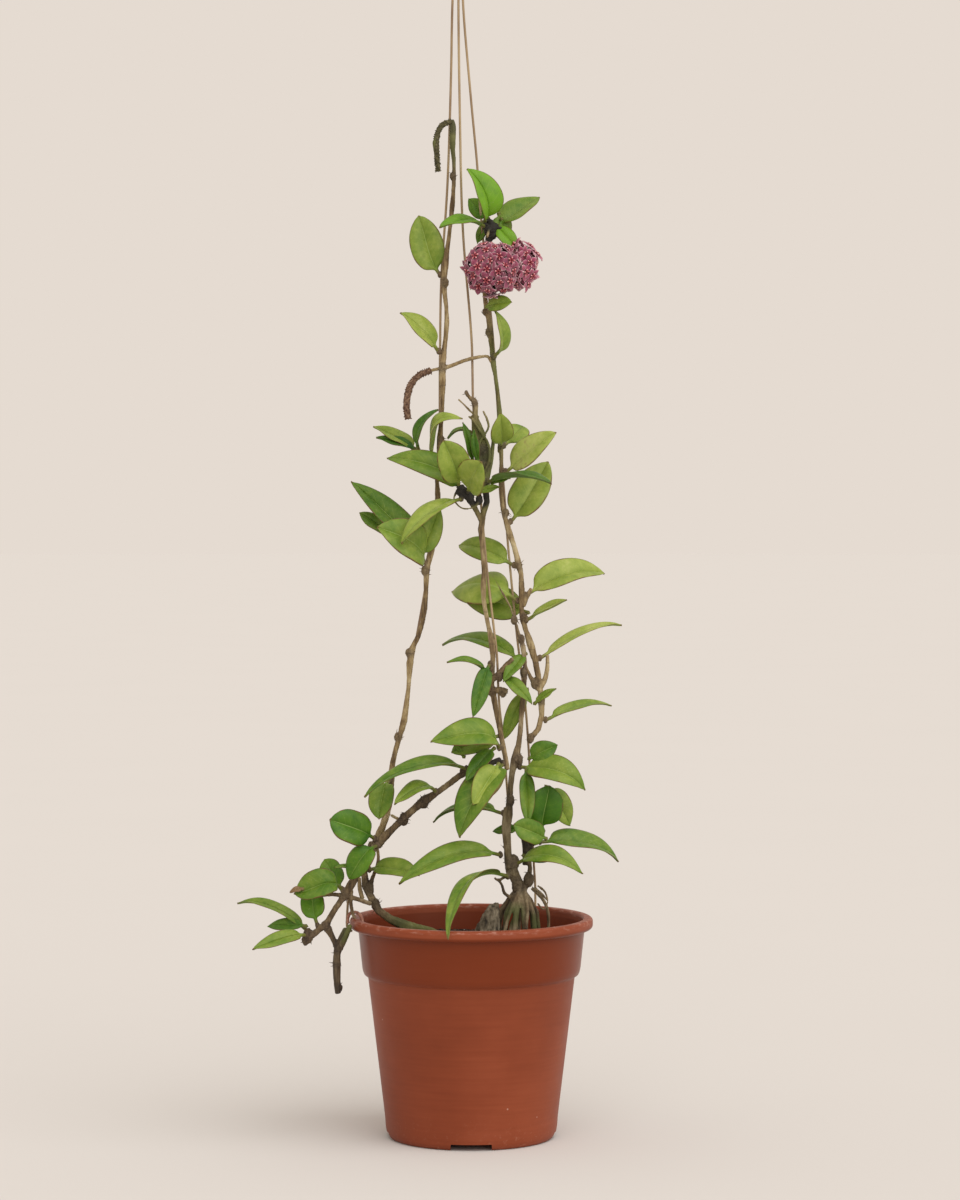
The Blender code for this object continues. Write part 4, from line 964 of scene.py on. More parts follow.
def grow(made, tree, **numbers):
    """Run a geometry tree on an object and keep the plain mesh."""
    modifier = made.modifiers.new(tree.name, "NODES")
    modifier.node_group = tree
    for socket in tree.interface.items_tree:
        title = socket.name.replace(" ", "_").lower()
        if socket.in_out == "INPUT" and title in numbers:
            modifier[socket.identifier] = numbers[title]
    bake(made)


def melt(made, voxel, steps):
    """Melt the closed shapes of an object into one skin and soften it."""
    remesh = made.modifiers.new("melt", "REMESH")
    remesh.mode = "VOXEL"
    remesh.voxel_size = voxel * MM
    smooth = made.modifiers.new("soften", "SMOOTH")
    smooth.factor = 0.6
    smooth.iterations = steps
    bake(made)


def settle(made, node=None):
    """Fix a finished piece to the plant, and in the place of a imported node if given."""
    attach(made, "root")
    if node is not None:
        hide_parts(node)


def discard(*objects):
    """Remove helpers that the finished pieces don't need."""
    for made in objects:
        bpy.data.objects.remove(made, do_unlink=True)


def add_numbers(mesh, name, values):
    """Keep one number per corner of a mesh."""
    layer = mesh.attributes.new(name, "FLOAT", "POINT")
    layer.data.foreach_set("value", np.array(values, dtype=np.float32))


def path_piece(name, points):
    """A row of corners joined by edges, for a tree that follows a path."""
    mesh = bpy.data.meshes.new(name)
    edges = [(i, i + 1) for i in range(len(points) - 1)]
    mesh.from_pydata([tuple(c * MM for c in point[:3]) for point in points], edges, [])
    return piece(name, mesh)


def merged_copy(node):
    """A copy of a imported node's mesh with its loose triangles joined."""
    bm = bmesh.new()
    bm.from_mesh(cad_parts[node].data)
    bmesh.ops.remove_doubles(bm, verts=bm.verts, dist=WELD)
    bm.verts.ensure_lookup_table()
    return bm


def swept_rings(node):
    """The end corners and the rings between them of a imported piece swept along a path."""
    bm = merged_copy(node)
    neighbours = [[e.other_vert(v).index for e in v.link_edges] for v in bm.verts]
    places = [np.array(v.co) for v in bm.verts]
    bm.free()
    for start in range(len(places)):
        levels = [[start]]
        seen = {start}
        while levels[-1]:
            found = []
            for index in levels[-1]:
                found += [j for j in neighbours[index] if j not in seen and j not in found]
            seen.update(found)
            levels.append(found)
        levels.pop()
        sizes = {len(level) for level in levels[1:-1]}
        if len(levels[-1]) == 1 and len(sizes) == 1:
            rings = [[places[i] for i in ring_order(level, neighbours)] for level in levels[1:-1]]
            return places[start], rings, places[levels[-1][0]]
    raise ValueError(node + " isn't a swept piece")


def ring_order(level, neighbours):
    """The corners of one ring in order round it."""
    order = [level[0]]
    while len(order) < len(level):
        nearby = [j for j in neighbours[order[-1]] if j in level and j not in order]
        order.append(nearby[0])
    return order


def ring_size(ring):
    """The largest distance between two corners of a ring."""
    return max(np.linalg.norm(a - b) for a in ring for b in ring)


# Leaves ------------------------------------------------------------------------------

def leaf_width(part, blunt=DRAWN_TIP):
    """Half the width at a share of the blade, as a share of the largest half width."""
    part = min(max(part, 0.0), 1.0)
    if part < WIDEST_PART:
        return (1 - (1 - part / WIDEST_PART) ** BASE_SWEEP) ** BASE_BLUNTNESS
    return 1 - ((part - WIDEST_PART) / (1 - WIDEST_PART)) ** blunt


def unit(vector):
    """A vector scaled to length one."""
    return vector / max(np.linalg.norm(vector), 1e-12)


def smooth_row(points, at):
    """A Catmull-Rom curve through points, at a place counted in points."""
    last = len(points) - 1
    index = min(int(at), last - 1)
    t = at - index
    a, b = points[max(index - 1, 0)], points[index]
    c, d = points[index + 1], points[min(index + 2, last)]
    return 0.5 * (2 * b + (c - a) * t + (2 * a - 5 * b + 4 * c - d) * t ** 2
                  + (3 * b - a - 3 * c + d) * t ** 3)


def edge_corners(ring):
    """The two corners, of a leaf's six, that lie on its edges: the farthest apart."""
    pairs = ((i, j) for i in range(6) for j in range(i + 2, min(i + 5, 6)))
    return max(pairs, key=lambda pair: np.linalg.norm(ring[pair[0]] - ring[pair[1]]))


def packed_leaf(node):
    """Read a packed leaf: its midrib, and the ways and width of its two halves."""
    start, rings, tip = swept_rings(node)
    if ring_size(rings[1]) > ring_size(rings[-2]):
        start, tip = tip, start
        rings.reverse()
    middles = [np.mean(ring, axis=0) for ring in rings]
    midrib = [start, middles[0], middles[1]]
    rights, lefts, widths = [], [], []
    for index in range(2, len(rings) - 1):
        ring = rings[index]
        way = unit(middles[index + 1] - middles[index - 1])
        first, second = edge_corners(ring)
        top = (first + 1) % 6 if second - first == 2 else (second + 1) % 6
        up = ring[top] - ring[(top + 3) % 6]
        centre = ring[top] - up / KEEL_SHARE
        rightwards = np.cross(way, unit(up))
        edges = sorted((ring[first], ring[second]), key=lambda p: -np.dot(p - centre, rightwards))
        midrib.append(centre)
        rights.append(unit(edges[0] - centre))
        lefts.append(unit(edges[1] - centre))
        part = (index - 1) / (len(rings) - 2)
        widths.append(np.linalg.norm(edges[0] - centre) / leaf_width(part))
    midrib += [middles[-1], tip]
    return midrib, rights, lefts, float(np.mean(widths))


def placed_leaf(joint, tip, width, face, lift_base, lift_tip, fold):
    """Lay out a small leaf between a joint and a tip, in the same form as a packed one."""
    start, tip = np.array(joint) * MM, np.array(tip) * MM
    way = unit(tip - start)
    face = np.array(face, dtype=float)
    normal = unit(face - way * np.dot(face, way))
    length = np.linalg.norm(tip - start)
    first = start + way * length * ARCH_HANDLE + normal * lift_base * MM
    second = tip - way * length * ARCH_HANDLE + normal * lift_tip * MM
    shares = [0.0, 0.03, 0.06]
    shares += [STALK_SHARE + (1 - STALK_SHARE) * k / BLADE_STEPS for k in range(1, BLADE_STEPS)]
    shares += [NEAR_TIP, 1.0]
    midrib = []
    for t in shares:
        midrib.append(start * (1 - t) ** 3 + first * 3 * t * (1 - t) ** 2
                      + second * 3 * t * t * (1 - t) + tip * t ** 3)
    rights, lefts = [], []
    turn = math.radians(fold)
    for index in range(3, 2 + BLADE_STEPS):
        here = unit(midrib[index + 1] - midrib[index - 1])
        side = unit(np.cross(here, normal))
        up = np.cross(side, here)
        rights.append(side * math.cos(turn) + up * math.sin(turn))
        lefts.append(-side * math.cos(turn) + up * math.sin(turn))
    return midrib, rights, lefts, width * MM / 2


def direction_at(rows, part):
    """The way of one half of the blade at a share of its length."""
    at = min(max(part * BLADE_STEPS - 1, 0.0), len(rows) - 1.0)
    index = min(int(at), len(rows) - 2)
    return unit(rows[index] * (1 - (at - index)) + rows[index + 1] * (at - index))


def leaf_mesh(name, shape, tone, seed, blunt):
    """Build a leaf: a round stalk that opens into a thick blade with veins and a keel."""
    midrib, rights, lefts, half_width = shape
    chance = random.Random(seed)
    phases = [chance.uniform(0, RIPPLE_TURN) for _ in range(4)]
    ripple = chance.uniform(*RIPPLE_HEIGHT) * MM
    known = [k / BLADE_STEPS for k in range(BLADE_STEPS)] + [NEAR_TIP, 1.0]
    places = [BLADE_START] + list(range(3, 4 + BLADE_STEPS))
    shares = [-(STALK_RINGS - k) / STALK_RINGS for k in range(STALK_RINGS)]
    shares += [math.sin(0.5 * math.pi * k / LEAF_RINGS) ** RING_CROWDING for k in range(LEAF_RINGS)]
    verts, maps, unders = [], [], []
    back = unit(midrib[0] - midrib[1])
    rows = [midrib[0] + back * STALK_FOOT * MM] + midrib
    last = len(rows) - 1
    for share in shares:
        at = np.interp(share, known, places) if share >= 0 else BLADE_START * (1 + share)
        at += 1
        centre = smooth_row(rows, at)
        way = smooth_row(rows, min(at + WAY_REACH, last)) - smooth_row(rows, max(at - WAY_REACH, 0))
        way = unit(way)
        right, left = direction_at(rights, share), direction_at(lefts, share)
        right, left = unit(right - way * np.dot(right, way)), unit(left - way * np.dot(left, way))
        half = half_width * leaf_width(share, blunt)
        ring = blade_ring(share, centre, way, right, left, half, ripple, phases)
        verts += ring[0]
        maps += ring[1]
        unders += ring[2]
    return closed_leaf(name, verts, maps, unders, midrib[-1], rows[0], tone)


def blade_ring(share, centre, way, right, left, half, ripple, phases):
    """One ring of a leaf: over the top from right to left, and back underneath."""
    opened = min(max(share / OPENING, 0.0), 1.0)
    opened = opened * opened * (3 - 2 * opened)
    radius = STALK_RADIUS * MM * (1.0 + STALK_FLARE * max(0.0, -share - 0.4))
    thick = LEAF_THICKNESS * MM * (1 - TIP_THINNING * max(share, 0.0)) / 2
    side = unit(right - left)
    up = np.cross(side, way)
    columns = [(-s, 1) for s in reversed(ACROSS)] + [(s, 1) for s in ACROSS[1:]]
    columns += [(s, -1) for s in reversed(ACROSS[:-1])] + [(-s, -1) for s in ACROSS[1:-1]]
    ring, maps, unders = [], [], []
    for across, face in columns:
        s = abs(across)
        reach = right if across < 0 else left
        normal = np.cross(right, way) if across < 0 else np.cross(way, left)
        vein = max(0.0, math.cos(2 * math.pi * (VEIN_PAIRS * (share - VEIN_SLANT * s)))) ** 6
        rise = face * thick * math.sqrt(max(0.0, 1 - s ** EDGE_ROUNDNESS)) * (1 - EDGE_THINNING * s)
        rise += half * DOME * 4 * s * (1 - s)
        rise -= MIDRIB_DEPTH * MM * math.exp(-(s / MIDRIB_WIDTH) ** 2) * (1 if face > 0 else KEEL)
        rise -= VEIN_DEPTH * MM * vein * 4 * s * (1 - s)
        phase = phases[0 if across < 0 else 1]
        rise += ripple * s * s * math.sin(RIPPLE_TURN * EDGE_RIPPLES * share + phase)
        wave = math.sin(RIPPLE_TURN * MIDRIB_WAVES * share + phases[2])
        rise += WAVE_HEIGHT * MM * wave * (1 - s)
        blade = centre + reach * half * s + normal * rise
        angle = math.pi * (across + 1) / 2
        tube = centre + side * radius * math.cos(angle) + up * radius * math.sin(angle) * face
        ring.append(tube * (1 - opened) + blade * opened)
        maps.append((share if share > 0 else share * 0.1, (across + 1) / 2))
        unders.append(0.0 if face > 0 else 1.0)
    return ring, maps, unders


def closed_leaf(name, verts, maps, unders, tip, start, tone):
    """Skin the rings of a leaf, close both ends and keep its numbers."""
    count = 4 * (len(ACROSS) - 1)
    total = len(verts) // count
    faces = []
    for row in range(total - 1):
        here, above = row * count, (row + 1) * count
        for k in range(count):
            n = (k + 1) % count
            faces.append((here + k, here + n, above + n, above + k))
    first, last = len(verts), len(verts) + 1
    for k in range(count):
        n = (k + 1) % count
        faces.append((first, n, k))
        faces.append((last, (total - 1) * count + k, (total - 1) * count + n))
    verts = verts + [start, tip]
    maps = maps + [(-0.1, 0.5), (1.0, 0.5)]
    unders = unders + [0.0, 0.0]
    mesh = bpy.data.meshes.new(name)
    mesh.from_pydata([tuple(v) for v in verts], [], faces)
    layer = mesh.uv_layers.new(name="blade")
    corners = np.empty(len(mesh.loops), dtype=np.int32)
    mesh.loops.foreach_get("vertex_index", corners)
    layer.data.foreach_set("uv", np.array(maps)[corners].ravel())
    add_numbers(mesh, "under", unders)
    add_numbers(mesh, "tone", [tone] * len(verts))
    mesh.shade_smooth()
    return mesh


def leaf_piece(name, label, shape, tone, seed, finish):
    """A leaf as an object: its label says how blunt and how fresh it is."""
    mesh = leaf_mesh(name, shape, tone, seed, BLUNT_TIPS.get(label, DRAWN_TIP))
    mesh.materials.append(finish)
    add_numbers(mesh, "fresh", [FRESH_LEAVES.get(label, 0.0)] * len(mesh.vertices))
    return piece(name, mesh)


def build_leaves(finish):
    """Every packed leaf in its fine form, and the small ones between them."""
    for seed, (node, tone) in enumerate(LEAF_TONES.items()):
        settle(leaf_piece("fine_" + node, node, packed_leaf(node), tone, seed, finish), node)
    for seed, (label, *layout, tone) in enumerate(SMALL_LEAVES, start=100):
        name = "small_leaf_" + label
        settle(leaf_piece(name, label, placed_leaf(*layout), tone, seed, finish))


# Stems -------------------------------------------------------------------------------

def add_tube(bm, points, sides=8):
    """Add a closed tapered tube along a route of x, y, z and radius to a bmesh."""
    rows = [np.array(point, dtype=float) * MM for point in points]
    fine = [smooth_row(rows, k / TUBE_STEPS) for k in range(TUBE_STEPS * (len(rows) - 1) + 1)]
    centres = [Vector(row[:3]) for row in fine]
    last = len(centres) - 1
    side = (centres[1] - centres[0]).orthogonal().normalized()
    rings = []
    for index, (centre, row) in enumerate(zip(centres, fine)):
        way = (centres[min(index + 1, last)] - centres[max(index - 1, 0)]).normalized()
        side = (side - way * side.dot(way)).normalized()
        up = way.cross(side)
        turns = [2 * math.pi * k / sides for k in range(sides)]
        rings.append([bm.verts.new(centre + (side * math.cos(a) + up * math.sin(a)) * row[3])
                      for a in turns])
    for a, b in zip(rings, rings[1:]):
        for k in range(sides):
            bm.faces.new((a[k], a[(k + 1) % sides], b[(k + 1) % sides], b[k]))
    bm.faces.new(list(reversed(rings[0])))
    bm.faces.new(rings[-1])


def add_lump(bm, place, radius, stretch):
    """Add a ball to a bmesh, stretched along the upright."""
    ball = bmesh.ops.create_icosphere(bm, subdivisions=2, radius=radius * MM)["verts"]
    for vertex in ball:
        vertex.co.z *= stretch
        vertex.co += Vector(place) * MM


def closeness(places, spots, falloff):
    """How near each place is to a spot: 1 within its reach, and 0 past falloff times that."""
    best = np.zeros(len(places))
    for x, y, z, reach, *strength in spots:
        away = np.linalg.norm(places - np.array((x, y, z)) * MM, axis=1) / (reach * MM)
        near = np.clip((falloff - away) / (falloff - 1), 0, 1)
        best = np.maximum(best, near * (strength[0] if strength else 1.0))
    return best


def seated(skin, spot):
    """A knot moved onto the stem if its middle lies too far outside."""
    x, y, z, radius = spot
    place = Vector((x, y, z)) * MM
    near, normal, _, _ = skin.find_nearest(place)
    if (place - near).dot(normal) > -KNOT_SEAT * MM:
        place = near - normal * KNOT_SEAT * MM
    return (*(place / MM), radius)


def leaf_joints(prefixes):
    """Where the leaves of a stem leave it, as small knots."""
    spots = []
    for node in LEAF_TONES:
        if node.startswith(prefixes):
            start, rings, tip = swept_rings(node)
            joint = start if ring_size(rings[1]) < ring_size(rings[-2]) else tip
            spots.append((*(joint / MM), JOINT_RADIUS))
    return spots


def build_stem(node, prefixes, tree, finish):
    """Flesh out a packed stem: add twigs and knots, melt them together, grow bark on it."""
    bm = merged_copy(node)
    bm.normal_update()
    for vertex in bm.verts:
        share = min(max((vertex.co.z - ROOT_BOTTOM) / ROOT_TAPER, ROOT_SHARE), 1.0)
        vertex.co += vertex.normal * share * SKIN_SHIFT[node] * MM
    joints = leaf_joints(prefixes)
    for points in TWIGS[node]:
        add_tube(bm, points)
    skin = BVHTree.FromBMesh(bm)
    knots = [seated(skin, spot) for spot in KNOTS[node]]
    for x, y, z, radius in knots + joints:
        add_lump(bm, (x, y, z), KNOT_SIZE * radius, KNOT_STRETCH)
    if node == "left_vine":
        add_tube(bm, SPENT_TOP)
    made = bmesh_piece("fine_" + node, bm, finish)
    melt(made, STEM_VOXEL, SMOOTHING_STEPS)
    places = np.empty(3 * len(made.data.vertices))
    made.data.vertices.foreach_get("co", places)
    places = places.reshape(-1, 3)
    spots = {"root": knots, "knot": knots + joints, "moss": MOSS_AND_PAINTED_SHADE[node], "black": BLACK_SCARS_AND_PAINTED_SHADE[node]}
    for name, falloff in FALLOFFS.items():
        add_numbers(made.data, name, closeness(places, spots[name], falloff))
    add_numbers(made.data, "tan", [STEM_TAN[node]] * len(places))
    grow(made, tree, thicken=0.1 * MM, rib_depth=0.75 * MM, grain_depth=0.35 * MM,
         wart_depth=1.5 * MM, finish=finish)
    made.data.shade_smooth()
    settle(made, node)
    return made


def root_stub(finish):
    """The shape of one aerial root: a thin curved spike along +Z."""
    bm = bmesh.new()
    add_tube(bm, [(0, 0, -0.6, 0.34), (0, 0, 0.8, 0.26), (0.2, 0, 1.8, 0.16), (0.6, 0, 2.6, 0.05)], 4)
    return bmesh_piece("root_stub", bm, finish)


def build_stems():
    """The five climbing stems and the aerial roots that their knots put out."""
    finish = bark_finish()
    tree = bark_tree()
    stubs = scatter_tree("aerial_roots", on_knots=True)
    shape = root_stub(finish)
    for seed, (node, prefixes) in enumerate(STEM_LEAVES.items()):
        made = build_stem(node, prefixes, tree, finish)
        roots = piece("aerial_roots_" + node, made.data.copy())
        grow(roots, stubs, shape=shape, spacing=1.6 * MM, density=6.0e4, least_size=0.4,
             largest_size=1.1, tilt=0.9, seed=seed)
        settle(roots)
    discard(shape)


def scar_stub(finish):
    """The shape of one old flower scar: a stubby peg that points along +X."""
    bm = bmesh.new()
    add_tube(bm, [(-0.4, 0, 0, 0.36), (0.15, 0, 0.05, 0.34), (0.4, 0, 0.12, 0.18)], 5)
    return bmesh_piece("scar_stub", bm, finish)


def build_spent_stalks():
    """Two stalks of old flowers: a rough core ringed by hundreds of scars."""
    tree = scar_tree()
    for seed, (name, points) in enumerate(SPENT_STALKS.items()):
        finish = spent_finish("spent_stalk_" + name, SPENT_TONES[name])
        stub = scar_stub(finish)
        bm = bmesh.new()
        add_tube(bm, points, 12)
        core = bmesh_piece("spent_core_" + name, bm, finish)
        scars = path_piece("spent_scars_" + name, points)
        radius = sum(point[3] for point in points) / len(points) - SCAR_DEPTH
        grow(scars, tree, shape=stub, pitch=SCAR_PITCH * MM, stalk_radius=radius * MM, seed=seed)
        settle(core)
        settle(scars)
        discard(stub)


# Flowers -----------------------------------------------------------------------------

def close_strips(bm, strips):
    """Skin rows of six corners and close both ends."""
    for a, b in zip(strips, strips[1:]):
        for i in range(6):
            bm.faces.new((a[i], b[i], b[(i + 1) % 6], a[(i + 1) % 6]))
    bm.faces.new(strips[0])
    bm.faces.new(list(reversed(strips[-1])))


def floret_shape(petal, crown):
    """One floret on its stalk, facing +Z: five pointed petals and a five-lobed crown."""
    bm = bmesh.new()
    reach = bm.verts.layers.float.new("reach")

    def corner(along, side, z, value, turn):
        x = along * math.cos(turn) - side * math.sin(turn)
        y = along * math.sin(turn) + side * math.cos(turn)
        vertex = bm.verts.new((x * MM, y * MM, z * MM))
        vertex[reach] = min(1.0, value)
        return vertex

    for k in range(5):
        turn = 2 * math.pi * k / 5
        strips = []
        for along, half, z, value in PETAL_ROWS:
            strips.append([corner(along, side * half, z - dip * half - drop, value + more, turn)
                           for side, dip, drop, more in PETAL_COLUMNS])
        close_strips(bm, strips)
    petals = len(bm.faces)
    for k in range(5):
        turn = 2 * math.pi * k / 5 + math.pi / 5
        strips = []
        for along, half, z, value in CROWN_ROWS:
            angles = [math.pi * i / 3 for i in range(6)]
            strips.append([corner(along, half * math.cos(a), z + half * math.sin(a), value, turn)
                           for a in angles])
        close_strips(bm, strips)
    crowns = len(bm.faces)
    add_tube(bm, [(0, 0, 0.3, 0.5), (0.3, 0.1, -4.5, 0.35), (0.1, 0.2, -10.0, 0.35)], 4)
    bmesh.ops.recalc_face_normals(bm, faces=bm.faces)
    bm.faces.ensure_lookup_table()
    for face in bm.faces[petals:crowns]:
        face.material_index = 1
    made = bmesh_piece("floret", bm, petal)
    made.data.materials.append(crown)
    return made


def hidden_ball(centre, half, size, seed):
    """The swelling ball that florets are set over: a mesh that the florets then replace."""
    bm = bmesh.new()
    bmesh.ops.create_icosphere(bm, subdivisions=4, radius=size)
    for vertex in bm.verts:
        x, _, z = vertex.co
        vertex.co *= 1.0 + UMBEL_SWELL * math.sin(7 * x + seed) * math.sin(6 * z + 2 * seed)
        vertex.co = centre + Vector([h * u for h, u in zip(half, vertex.co)])
    return mesh_from("ball", bm)


def build_umbels():
    """Each flower head: florets set over a hidden ball and over a smaller one inside it."""
    crown = crown_finish()
    tree = scatter_tree("umbel")
    for node, (seed, shift, larger, light) in UMBELS.items():
        # Each head has its own copy of the petal material, lit or shaded by its painted-light factor
        floret = floret_shape(floret_finish("felted_petal_" + node, light), crown)
        low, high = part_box(node)
        centre = (Vector(low) + Vector(high)) / 2 + Vector(shift) * MM
        half = (Vector(high) - Vector(low)) / 2
        half += (Vector(larger) - Vector((1, 1, 1)) * FLORET_STANDOFF) * MM
        for name, size, spacing, scale in UMBEL_LAYERS:
            made = piece(name + node, hidden_ball(centre, half, size, seed))
            grow(made, tree, shape=floret, spacing=spacing * MM, density=9.0e5,
                 least_size=0.88 * scale, largest_size=1.08 * scale, tilt=0.45, seed=seed)
            settle(made, node)
        discard(floret)


# Pot and potting mix -----------------------------------------------------------------

def rounded(points, reach):
    """An outline with each corner cut by four short chords, reach mm from the corner."""
    out = []
    count = len(points)
    for index, (x, z, soft) in enumerate(points):
        if not soft:
            out.append((x, z))
            continue
        here = np.array((x, z))
        before = np.array(points[index - 1][:2])
        after = np.array(points[(index + 1) % count][:2])
        room = min(np.linalg.norm(before - here), np.linalg.norm(after - here))
        r = min(reach * soft, ROUNDED_SHARE * room)
        a, b = here + unit(before - here) * r, here + unit(after - here) * r
        for t in (0.0, 0.25, 0.5, 0.75, 1.0):
            out.append(tuple(a * (1 - t) ** 2 + here * 2 * t * (1 - t) + b * t * t))
    return out


def turned_piece(name, outline, tree, sides, finish, centre=(0.0, 0.0)):
    """An outline of radius and height turned round an upright axis, as a closed mesh."""
    mesh = bpy.data.meshes.new(name)
    edges = [(i, i + 1) for i in range(len(outline) - 1)]
    mesh.from_pydata([(radius * MM, -height * MM, 0.0) for radius, height in outline], edges, [])
    made = piece(name, mesh)
    grow(made, tree, sides=sides, finish=finish)
    bm = bmesh.new()
    bm.from_mesh(made.data)
    bmesh.ops.remove_doubles(bm, verts=bm.verts, dist=POLE_WELD)
    bmesh.ops.recalc_face_normals(bm, faces=bm.faces)
    bmesh.ops.translate(bm, verts=bm.verts, vec=(centre[0] * MM, centre[1] * MM, 0.0))
    bm.to_mesh(made.data)
    bm.free()
    return made


def build_pot(tree):
    """The pot: a turned wall with foot notches and drain holes cut through it."""
    finish = pot_finish()
    made = turned_piece("nursery_pot", rounded(POT_OUTLINE, POT_ROUNDING), tree, POT_SIDES, finish)
    cutters = [block_cutter(index) for index in range(NOTCH_COUNT)]
    cutters += [hole_cutter(index) for index in range(NOTCH_COUNT)]
    for cutter in cutters:
        cut = made.modifiers.new("cut", "BOOLEAN")
        cut.operation = "DIFFERENCE"
        cut.solver = "EXACT"
        cut.object = cutter
    bake(made)
    discard(*cutters)
    made.data.materials.clear()
    made.data.materials.append(finish)
    made.data.shade_smooth()
    made.data.set_sharp_from_angle(angle=math.radians(SHARP_EDGE))
    settle(made, "pot")


def block_cutter(index):
    """A box that cuts one notch through the ring foot."""
    bm = bmesh.new()
    bmesh.ops.create_cube(bm, size=1.0)
    middle = (FOOT_RADIUS + FOOT_INNER_RADIUS) / 2 + CUTTER_SHIFT
    turn = 2 * math.pi * index / NOTCH_COUNT
    for vertex in bm.verts:
        x = middle + vertex.co.x * (FOOT_RADIUS - FOOT_INNER_RADIUS + CUTTER_EXCESS)
        y = vertex.co.y * (NOTCH_WIDTH + (0.0 if vertex.co.z > 0 else NOTCH_FLARE))
        z = vertex.co.z * 2 * FOOT_HEIGHT
        vertex.co = Vector((x * math.cos(turn) - y * math.sin(turn),
                            x * math.sin(turn) + y * math.cos(turn), z)) * MM
    return piece("notch", mesh_from("notch", bm))


def hole_cutter(index):
    """A round bar that cuts one drain hole through the floor."""
    bm = bmesh.new()
    radius = DRAIN_HOLE_RADIUS * MM
    bmesh.ops.create_cone(bm, cap_ends=True, segments=DRAIN_HOLE_SIDES, radius1=radius,
                          radius2=radius, depth=DRAIN_HOLE_CUT * MM)
    turn = 2 * math.pi * (index + 0.5) / NOTCH_COUNT
    x, y = DRAIN_HOLE_RING * math.cos(turn), DRAIN_HOLE_RING * math.sin(turn)
    bmesh.ops.translate(bm, verts=bm.verts, vec=(x * MM, y * MM, FOOT_HEIGHT * MM))
    return piece("hole", mesh_from("hole", bm))


def crumb_shape(name, seed, size, finish):
    """A lumpy crumb of about 2 mm, or a flat chip where size is wide and low."""
    chance = random.Random(seed)
    bm = bmesh.new()
    bmesh.ops.create_icosphere(bm, subdivisions=1, radius=1.0)
    for vertex in bm.verts:
        vertex.co = Vector([c * s * chance.uniform(0.75, 1.2) * MM for c, s in zip(vertex.co, size)])
    return bmesh_piece(name, bm, finish)


def build_potting_mix():
    """The top of the potting mix: an uneven bed with crumbs, chips and pale grit on it."""
    dark = soil_finish("peat", [(0.3, (0.010, 0.007, 0.005)), (0.55, (0.028, 0.019, 0.013)),
                                (0.8, (0.075, 0.052, 0.036))], 500.0, 0.95)
    chip = soil_finish("bark_chip", [(0.3, (0.035, 0.018, 0.010)), (0.6, (0.095, 0.052, 0.028)),
                                     (0.8, (0.190, 0.125, 0.075))], 320.0, 0.88)
    grit = soil_finish("pale_grit", [(0.3, (0.22, 0.20, 0.17)), (0.7, (0.50, 0.47, 0.42))],
                       600.0, 0.9)
    bed = bmesh_piece("potting_bed", merged_copy("potting_mix"), dark)
    fine = bed.modifiers.new("fine", "SUBSURF")
    fine.subdivision_type = "SIMPLE"
    fine.levels = 3
    fine.render_levels = 3
    bake(bed)
    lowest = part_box("potting_mix")[1][2] - CRUMB_DEPTH * MM
    surface = bmesh.new()
    surface.from_mesh(bed.data)
    doomed = [face for face in surface.faces
              if face.calc_center_median().z < lowest or face.normal.z < CRUMB_SLOPE]
    bmesh.ops.delete(surface, geom=doomed, context="FACES")
    mesh = mesh_from("surface", surface)
    tree = scatter_tree("crumbs")
    layers = [
        ("peat_crumbs", crumb_shape("crumb", 1, (1.3, 1.1, 0.9), dark), 1.9, 4.0e5, 0.5, 1.5),
        ("bark_chips", crumb_shape("chip", 2, (2.6, 1.5, 0.8), chip), 6.5, 2.0e4, 0.6, 1.6),
        ("grit", crumb_shape("pebble", 3, (0.9, 0.8, 0.7), grit), 9.0, 1.2e4, 0.5, 1.2),
    ]
    for seed, (name, shape, spacing, density, least, largest) in enumerate(layers, start=40):
        made = piece(name, mesh.copy())
        grow(made, tree, shape=shape, spacing=spacing * MM, density=density, least_size=least,
             largest_size=largest, tilt=0.5, seed=seed)
        settle(made)
        discard(shape)
    settle(bed, "potting_mix")


def build_bark_slab(tree):
    """The leaning slab of bark, broken up into ridges."""
    finish = slab_finish()
    made = bmesh_piece("bark_slab", merged_copy("bark_stump"), finish)
    melt(made, SLAB_VOXEL, SLAB_SMOOTHING_STEPS)
    add_numbers(made.data, "knot", [1.0] * len(made.data.vertices))
    grow(made, tree, rib_depth=3.0 * MM, grain_depth=1.2 * MM, wart_depth=1.0 * MM, finish=finish)
    made.data.shade_smooth()
    settle(made, "bark_stump")


# Hanger ------------------------------------------------------------------------------

def build_wires(tree):
    """The three wires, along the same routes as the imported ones."""
    finish = wire_finish()
    for node in ("left_wire", "middle_wire", "right_wire"):
        start, rings, end = swept_rings(node)
        points = [start] + [np.mean(ring, axis=0) for ring in rings] + [end]
        made = path_piece("coated_" + node, [tuple(point / MM) for point in points])
        grow(made, tree, radius=WIRE_RADIUS * MM, spacing=3.0 * MM, finish=finish)
        settle(made, node)


def build_rim_clip(tree):
    """The red-brown clip that holds the left wire: a loop over the rim and back inside."""
    made = path_piece("rim_clip", RIM_CLIP)
    grow(made, tree, radius=CLIP_RADIUS * MM, spacing=0.8 * MM, finish=clip_finish())
    settle(made)


def sleeve_outline():
    """Half the section of the sleeve, with two crimped grooves: radius, height, how rounded."""
    r, crimped = SLEEVE_RADIUS, SLEEVE_RADIUS - CRIMP_DEPTH
    outline = [(AXIS_GAP, SLEEVE_BOTTOM, 0), (r, SLEEVE_BOTTOM, 1)]
    for groove in SLEEVE_GROOVES:
        z = SLEEVE_BOTTOM + groove
        outline += [(r, z, 0.5), (crimped, z + 0.6, 0.5), (crimped, z + 1.6, 0.5), (r, z + 2.2, 0.5)]
    return outline + [(r, SLEEVE_TOP - 1.5, 1), (r - 1.6, SLEEVE_TOP, 1), (AXIS_GAP, SLEEVE_TOP, 0)]


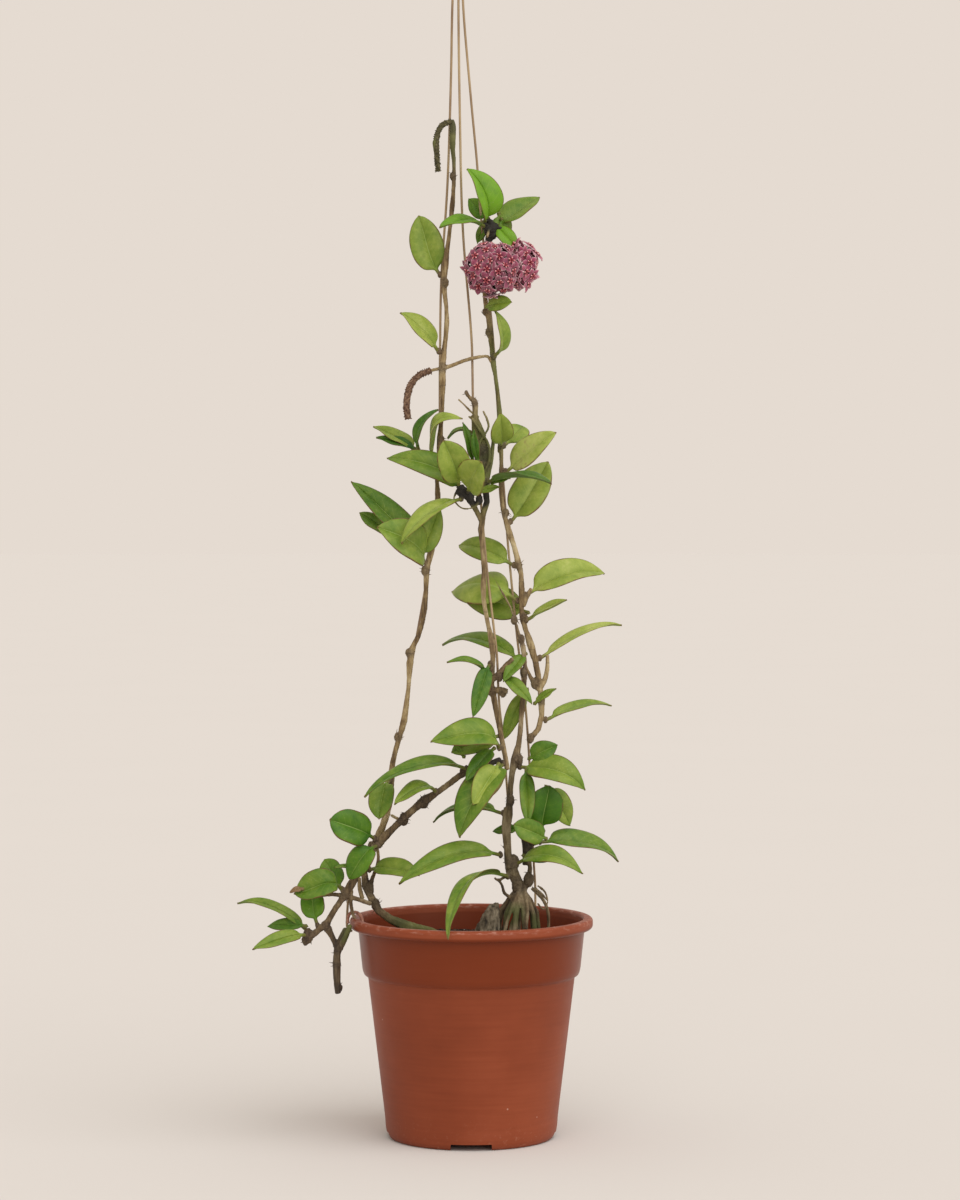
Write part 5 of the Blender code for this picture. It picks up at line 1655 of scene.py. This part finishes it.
def build_hook(tree, lathe):
    """The hook: a crimped sleeve over the wire ends, a shank and a round open hook."""
    finish = steel_finish()
    x, y = HANG_POINT
    low = SLEEVE_TOP + SHANK_LENGTH
    route = [(x, y, z) for z in (SLEEVE_TOP - 8.0, SLEEVE_TOP, SLEEVE_TOP + 6.0, low - 4.0)]
    for degrees in range(240, -30, -15):
        turn = math.radians(degrees)
        route.append((x + HOOK_RADIUS * math.cos(turn), y, low + HOOK_RADIUS * (1 + math.sin(turn))))
    made = path_piece("steel_hook", route)
    grow(made, tree, radius=HOOK_WIRE_RADIUS * MM, spacing=1.2 * MM, finish=finish)
    settle(made, "hanger_hook")
    outline = rounded(sleeve_outline(), SLEEVE_ROUNDING)
    sleeve = turned_piece("crimped_sleeve", outline, lathe, SLEEVE_SIDES, finish, HANG_POINT)
    sleeve.data.shade_smooth()
    settle(sleeve)


# Stage -------------------------------------------------------------------------------

def build_camera():
    """The camera, level with the middle of the plant and tilted a little down."""
    data = bpy.data.cameras.new("camera")
    data.lens = CAMERA_LENS
    data.sensor_width = 36.0
    data.clip_start = 0.05
    data.clip_end = 200.0
    camera = bpy.data.objects.new("camera", data)
    camera.location = CAMERA_PLACE
    camera.rotation_euler = (math.radians(90 - CAMERA_TILT), 0.0, 0.0)
    bpy.context.scene.collection.objects.link(camera)
    bpy.context.scene.camera = camera


def build_stage():
    """A plain pale floor, an even pale surround and one very soft sun."""
    scene = bpy.context.scene
    scene.view_settings.view_transform = "Standard"
    world = bpy.data.worlds.new("surround")
    world.use_nodes = True
    background = world.node_tree.nodes["Background"]
    background.inputs[0].default_value = (*PAPER, 1.0)
    scene.world = world
    bm = bmesh.new()
    bmesh.ops.create_circle(bm, cap_ends=True, segments=FLOOR_SIDES, radius=FLOOR_RADIUS)
    floor = piece("floor", mesh_from("floor", bm))
    floor.data.materials.append(floor_finish())
    data = bpy.data.lights.new("soft_sun", "SUN")
    data.energy = SUN_STRENGTH
    data.angle = math.radians(SUN_SPREAD)
    sun = bpy.data.objects.new("soft_sun", data)
    sun.rotation_euler = [math.radians(angle) for angle in SUN_TURN]
    scene.collection.objects.link(sun)


build_camera()
build_stage()
build_leaves(leaf_finish())
build_stems()
build_spent_stalks()
build_umbels()
turned = turned_tree()
build_pot(turned)
build_potting_mix()
build_bark_slab(bark_tree())
wires = wire_tree()
build_wires(wires)
build_rim_clip(wires)
build_hook(wires, turned)

bpy.context.view_layer.update()
